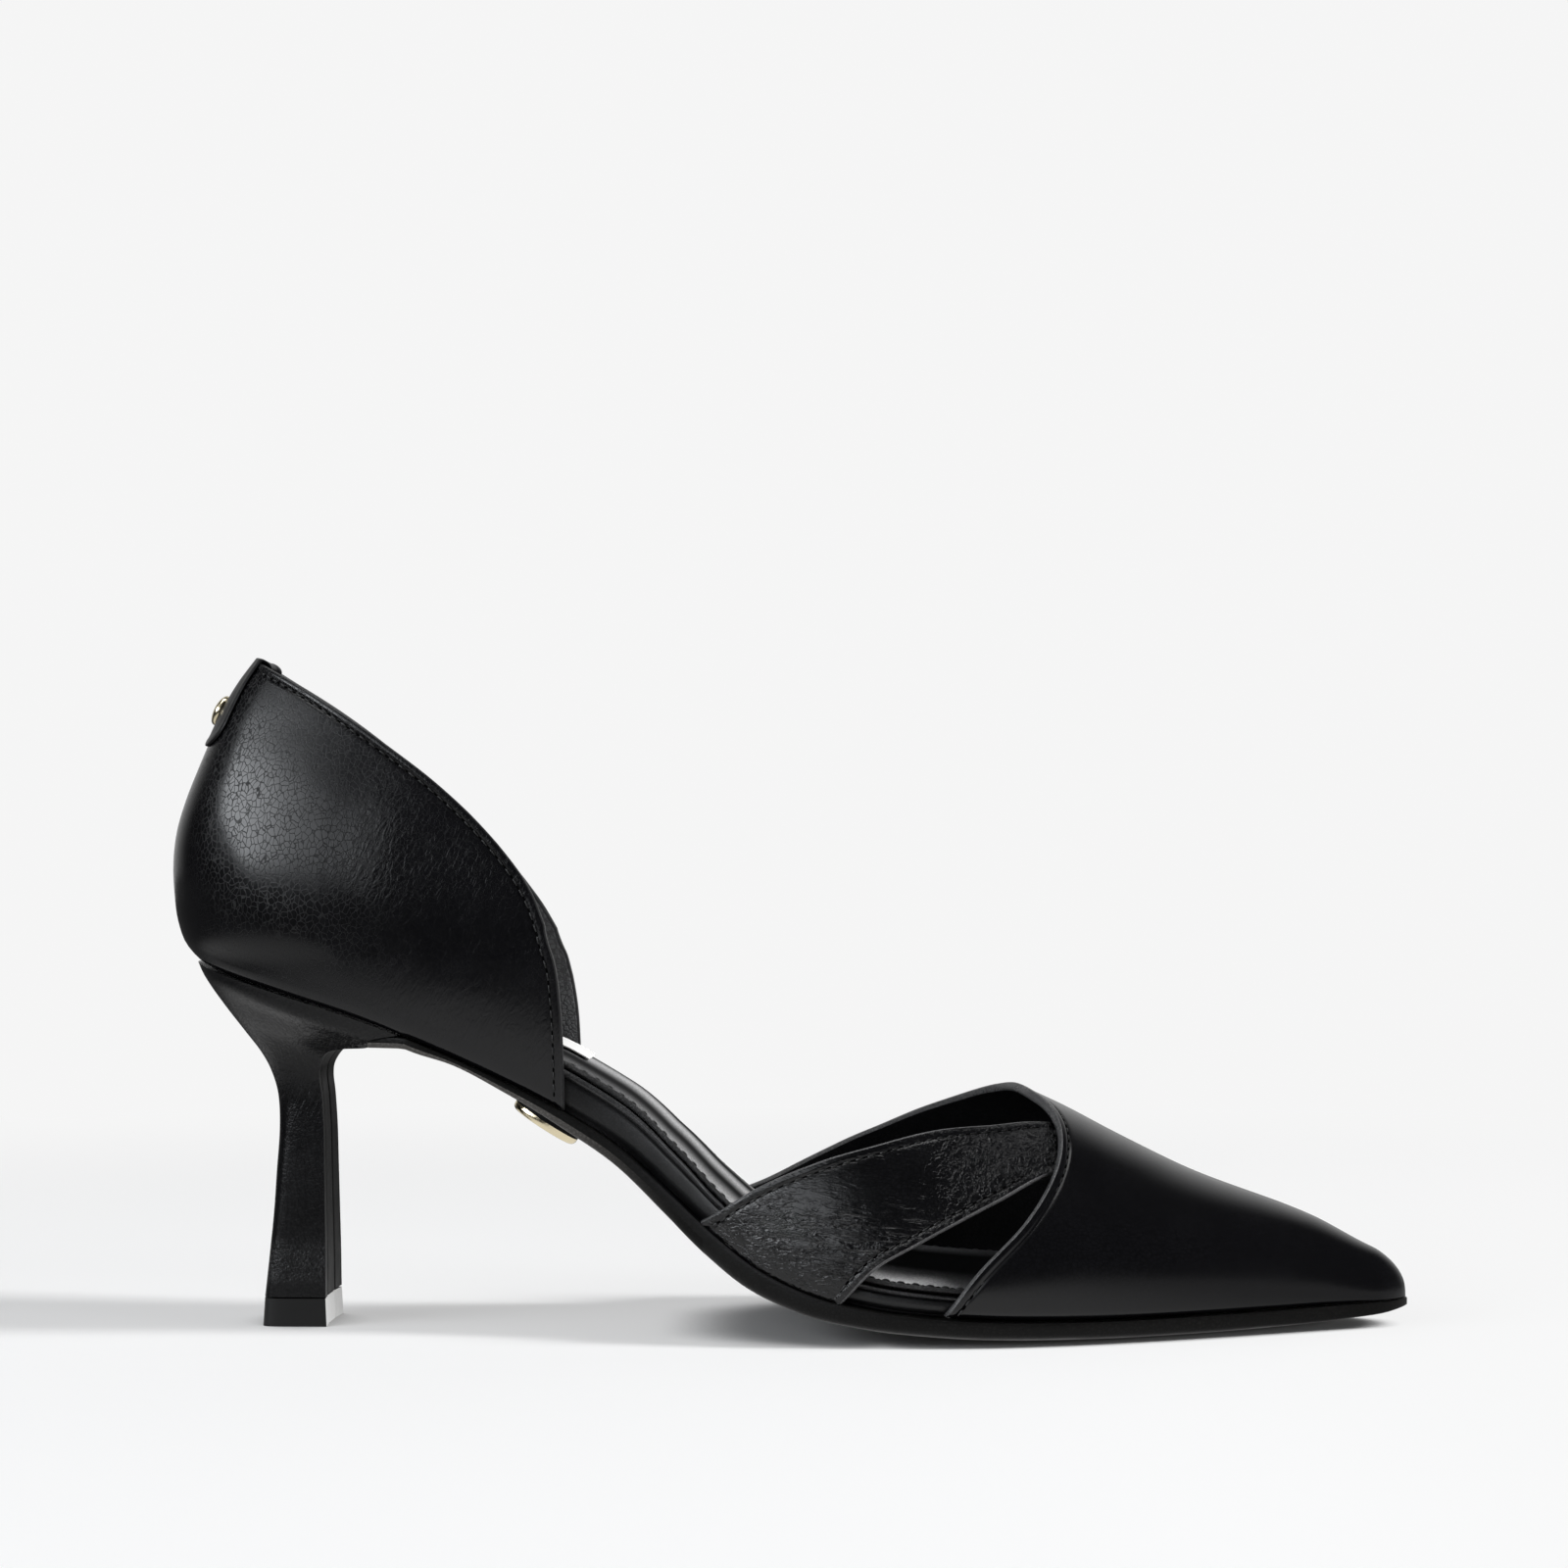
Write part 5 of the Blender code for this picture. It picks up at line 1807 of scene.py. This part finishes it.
def make_sole_stud():
    """A polished oval with a flat face and a round edge."""
    half = SOLE_STUD_RADIUS
    front = Vector((SOLE_STUD_X + half, 0, outsole_bottom(SOLE_STUD_X + half, 0.0)))
    back = Vector((SOLE_STUD_X - half, 0, outsole_bottom(SOLE_STUD_X - half, 0.0)))
    tangent = (front - back).normalized()
    facing = Vector((tangent.z, 0, -tangent.x))
    place = (front + back) / 2 + facing * GAP
    turns = np.radians(np.linspace(86, 4, 12))
    corner = SOLE_STUD_HEIGHT * 0.36
    flat = half - corner
    profile = [(half * 0.02, SOLE_STUD_HEIGHT), (flat * 0.6, SOLE_STUD_HEIGHT)]
    profile += [(flat + corner * math.cos(a), SOLE_STUD_HEIGHT + corner * (math.sin(a) - 1)) for a in turns]
    profile += [(half, SOLE_STUD_HEIGHT * 0.5), (half, SOLE_STUD_HEIGHT * 0.1), (half * 0.98, 0.0)]
    narrow = SOLE_STUD_NARROWING
    turned_stud("sole_stud", profile, place, facing, narrow, SOLE_STUD_GOLD, "sole_stud", 2)


# Stage


BACKGROUND = 0.915
COOL_WHITE = (0.93, 0.96, 1.0)
BACKDROP_SPAN = (0.4, 0.9)
BACKDROP_LIGHT = (0.02, 0.56)

# Floor as the camera sees it: a glow that is shut off close under the shoe, which paints a contact shadow
# there, and that grows to the backdrop
FLOOR_HALF = 3.0
FLOOR_TONE = 0.45
FLOOR_GLOW = 0.44
CONTACT_REACH = 0.004
ARCH_REACH = 0.022
ARCH_SPAN = (-0.006, 0.02)
OPEN_SPAN = (0.25, 0.8)
FAR_SPAN = (0.2, 0.6)
TOE_SPAN = (0.05, 0.14)
TOE_CLEARING = 0.5

# Floor as the leather mirrors it: soft patches, each with its brightness and the span of its fade
CLOSE_SHEEN = 0.08
CLOSE_SPAN = (0.05, 0.16)
WIDE_SHEEN = 0.27
WIDE_SPAN = (0.14, 0.32)
WIDE_REST = 0.05
LEFT_SHEEN = 0.34
LEFT_PLACE = (-0.11, -0.08, 0.0)
LEFT_SPAN = (0.14, 0.25)
RIGHT_SHEEN = 0.12
RIGHT_SPAN = (0.1, 0.2)
RIGHT_END_SPAN = (0.3, 0.8)

# Left softbox in shares of its width and height: where its left edge leans, and the spans of its fades
BOX_WIDTH = 1.12
BOX_START = -0.12
LEAN_RISE = -0.69
LEAN_START = 0.41
LEAN_LEAST = -0.1
LEFT_EDGE_SPAN = (-0.02, 0.03)
ACROSS_SPAN = (0.3, 0.78)
ACROSS_REST = 0.33
END_SPAN = (0.88, 1.0)
END_REST = 0.1
TOP_SLANT = 0.35
TOP_SPAN = (0.66, 0.83)
TOP_REST = 0.12
BOTTOM_SPAN = (0.02, 0.22)


def make_floor():
    """Pale floor: for the camera it takes soft shadows from the lamps and a painted contact shadow under the
    shoe, and the leather mirrors it as soft patches.
    """
    mesh = bpy.data.meshes.new("floor")
    corners = [(x * FLOOR_HALF, y * FLOOR_HALF, 0) for x, y in ((-1, -1), (1, -1), (1, 1), (-1, 1))]
    mesh.from_pydata(corners, [], [(0, 1, 2, 3)])
    floor = bpy.data.objects.new("floor", mesh)
    bpy.context.scene.collection.objects.link(floor)
    material = bpy.data.materials.new("pale_floor")
    material.use_nodes = True
    tree = material.node_tree
    tree.nodes.remove(tree.nodes["Principled BSDF"])
    place = add_node(tree, "ShaderNodeTexCoord").outputs["Object"]
    from_shoe = add_node(tree, "ShaderNodeVectorMath", {0: place}, operation="LENGTH").outputs["Value"]
    sideways = add_node(tree, "ShaderNodeSeparateXYZ", {0: place}).outputs["X"]
    # Painted contact shadow: the glow is shut off where ambient occlusion finds the shoe close by, reaching
    # further under the arch.
    reach = between(tree, sideways, *ARCH_SPAN, ARCH_REACH, CONTACT_REACH)
    opened = add_node(tree, "ShaderNodeAmbientOcclusion", {"Distance": reach}).outputs["AO"]
    open_floor = between(tree, opened, *OPEN_SPAN)
    # Before the toe the floor is mixed part way to the backdrop, painted light that thins the shadows there.
    clear_of_toe = maths(tree, "MULTIPLY", between(tree, sideways, *TOE_SPAN, 0.0, TOE_CLEARING), open_floor)
    far = maths(tree, "MAXIMUM", between(tree, from_shoe, *FAR_SPAN), clear_of_toe)
    matt = add_node(tree, "ShaderNodeBsdfDiffuse", {"Color": (FLOOR_TONE,) * 3 + (1.0,)})
    glow = maths(tree, "MULTIPLY", open_floor, FLOOR_GLOW)
    near_glow = add_node(tree, "ShaderNodeEmission", {"Strength": glow})
    near = add_node(tree, "ShaderNodeAddShader", {0: matt.outputs[0], 1: near_glow.outputs[0]})
    far_glow = add_node(tree, "ShaderNodeEmission", {"Strength": BACKGROUND})
    seen = add_node(tree, "ShaderNodeMixShader", {0: far, 1: near.outputs[0], 2: far_glow.outputs[0]})
    close = between(tree, from_shoe, *CLOSE_SPAN, CLOSE_SHEEN, 0.0)
    wide = between(tree, from_shoe, *WIDE_SPAN, WIDE_SHEEN, WIDE_REST)
    from_left = add_node(tree, "ShaderNodeVectorMath", {0: place, 1: LEFT_PLACE}, operation="DISTANCE")
    left = between(tree, from_left.outputs["Value"], *LEFT_SPAN, LEFT_SHEEN, 0.0)
    right = between(tree, sideways, *RIGHT_SPAN, 0.0, RIGHT_SHEEN)
    right = maths(tree, "MULTIPLY", right, between(tree, from_shoe, *RIGHT_END_SPAN, 1.0, 0.0))
    lit = maths(tree, "ADD", maths(tree, "ADD", close, wide), maths(tree, "ADD", left, right))
    mirrored = add_node(tree, "ShaderNodeEmission", {"Strength": lit})
    ray = add_node(tree, "ShaderNodeLightPath").outputs["Is Camera Ray"]
    surface = add_node(tree, "ShaderNodeMixShader", {0: ray, 1: mirrored.outputs[0], 2: seen.outputs[0]})
    tree.links.new(surface.outputs[0], tree.nodes["Material Output"].inputs["Surface"])
    mesh.materials.append(material)


def make_world():
    """Pale backdrop for the camera; for light, pale behind the shoe and dark in front of it."""
    world = bpy.data.worlds.new("studio")
    world.use_nodes = True
    tree = world.node_tree
    sky = tree.nodes["Background"]
    ray = add_node(tree, "ShaderNodeLightPath").outputs["Is Camera Ray"]
    way = add_node(tree, "ShaderNodeTexCoord").outputs["Generated"]
    axes = add_node(tree, "ShaderNodeSeparateXYZ", {0: way}).outputs
    behind = between(tree, axes["Y"], *BACKDROP_SPAN, *BACKDROP_LIGHT)
    strengths = {"Factor": ray, "A": behind, "B": BACKGROUND}
    strength = add_node(tree, "ShaderNodeMix", strengths, data_type="FLOAT")
    tree.links.new(strength.outputs[0], sky.inputs["Strength"])
    sky.inputs["Color"].default_value = (1.0, 1.0, 1.0, 1.0)
    bpy.context.scene.world = world


def add_softbox(name, place, aim, size, power, colour=(1.0, 1.0, 1.0), mirrored=True, lighting=True):
    """A rectangular light. It may be left out of the highlights, or show only in them."""
    light = bpy.data.lights.new(name, "AREA")
    light.shape = "RECTANGLE"
    light.size, light.size_y = size
    light.energy = power
    light.color = colour
    softbox = bpy.data.objects.new(name, light)
    softbox.location = place
    softbox.rotation_euler = (Vector(aim) - Vector(place)).to_track_quat("-Z", "Y").to_euler()
    softbox.visible_camera = False
    softbox.visible_glossy = mirrored
    softbox.visible_diffuse = lighting
    bpy.context.scene.collection.objects.link(softbox)
    return light


def grade_softbox(light):
    """Shapes a softbox's light: its left edge leans, and it fades towards its right end, top and bottom."""
    light.use_nodes = True
    tree = light.node_tree
    spread = add_node(tree, "ShaderNodeNewGeometry").outputs["Parametric"]
    axes = add_node(tree, "ShaderNodeSeparateXYZ", {0: spread}).outputs
    across = maths(tree, "MULTIPLY_ADD", axes["X"], BOX_WIDTH, BOX_START)
    lean = maths(tree, "MULTIPLY_ADD", axes["Y"], LEAN_RISE, LEAN_START)
    lean = maths(tree, "MAXIMUM", lean, LEAN_LEAST)
    corner = maths(tree, "MULTIPLY_ADD", across, TOP_SLANT, axes["Y"])
    strength = between(tree, maths(tree, "SUBTRACT", across, lean), *LEFT_EDGE_SPAN)
    fades = (
        between(tree, across, *ACROSS_SPAN, 1.0, ACROSS_REST),
        between(tree, across, *END_SPAN, 1.0, END_REST),
        between(tree, corner, *TOP_SPAN, 1.0, TOP_REST),
        between(tree, axes["Y"], *BOTTOM_SPAN),
    )
    for fade in fades:
        strength = maths(tree, "MULTIPLY", strength, fade)
    tree.links.new(strength, tree.nodes["Emission"].inputs["Strength"])


def make_camera():
    lens = 75.32
    place = (0.018315, -0.65, 0.0887)
    aim = Vector((-0.0292, 1.0, 0.0269))
    data = bpy.data.cameras.new("camera")
    data.lens = lens
    data.sensor_width = 36.0
    data.clip_start = 0.01
    camera = bpy.data.objects.new("camera", data)
    camera.location = place
    camera.rotation_euler = aim.to_track_quat("-Z", "Y").to_euler()
    bpy.context.scene.collection.objects.link(camera)
    bpy.context.scene.camera = camera


make_quarter()
make_vamp()
make_strap()
make_outsole()
make_board()
make_sock()
make_label()
make_heel()
make_top_piece()
make_heel_tab()
make_back_stud()
make_sole_stud()

make_floor()
make_world()
left_softbox = add_softbox(
    "left_softbox",
    place=(-0.886, -0.6365, 0.614),
    aim=(-0.3301, 0.1005, 0.029),
    size=(2.0608, 1.288),
    power=50.3,
    colour=COOL_WHITE,
)
grade_softbox(left_softbox)
add_softbox(
    "top_softbox",
    place=(0.05, 0.15, 2.2),
    aim=(0.03, 0.0, 0.05),
    size=(1.6, 0.8),
    power=9.0,
    lighting=False,
)
add_softbox(
    "strap_softbox",
    place=(-0.29, -0.29, 1.16),
    aim=(0.02, -0.03, 0.03),
    size=(0.5, 0.5),
    power=1.6,
    lighting=False,
)
add_softbox(
    "right_key",
    place=(2.2, -0.2, 1.5),
    aim=(0.0, 0.0, 0.05),
    size=(0.45, 1.0),
    power=88.0,
    mirrored=False,
)
add_softbox(
    "breast_fill",
    place=(1.1, -0.45, 0.14),
    aim=(-0.09, 0.0, 0.01),
    size=(0.3, 0.3),
    power=7.6,
    mirrored=False,
)
make_camera()
bpy.context.scene.view_settings.view_transform = "Standard"
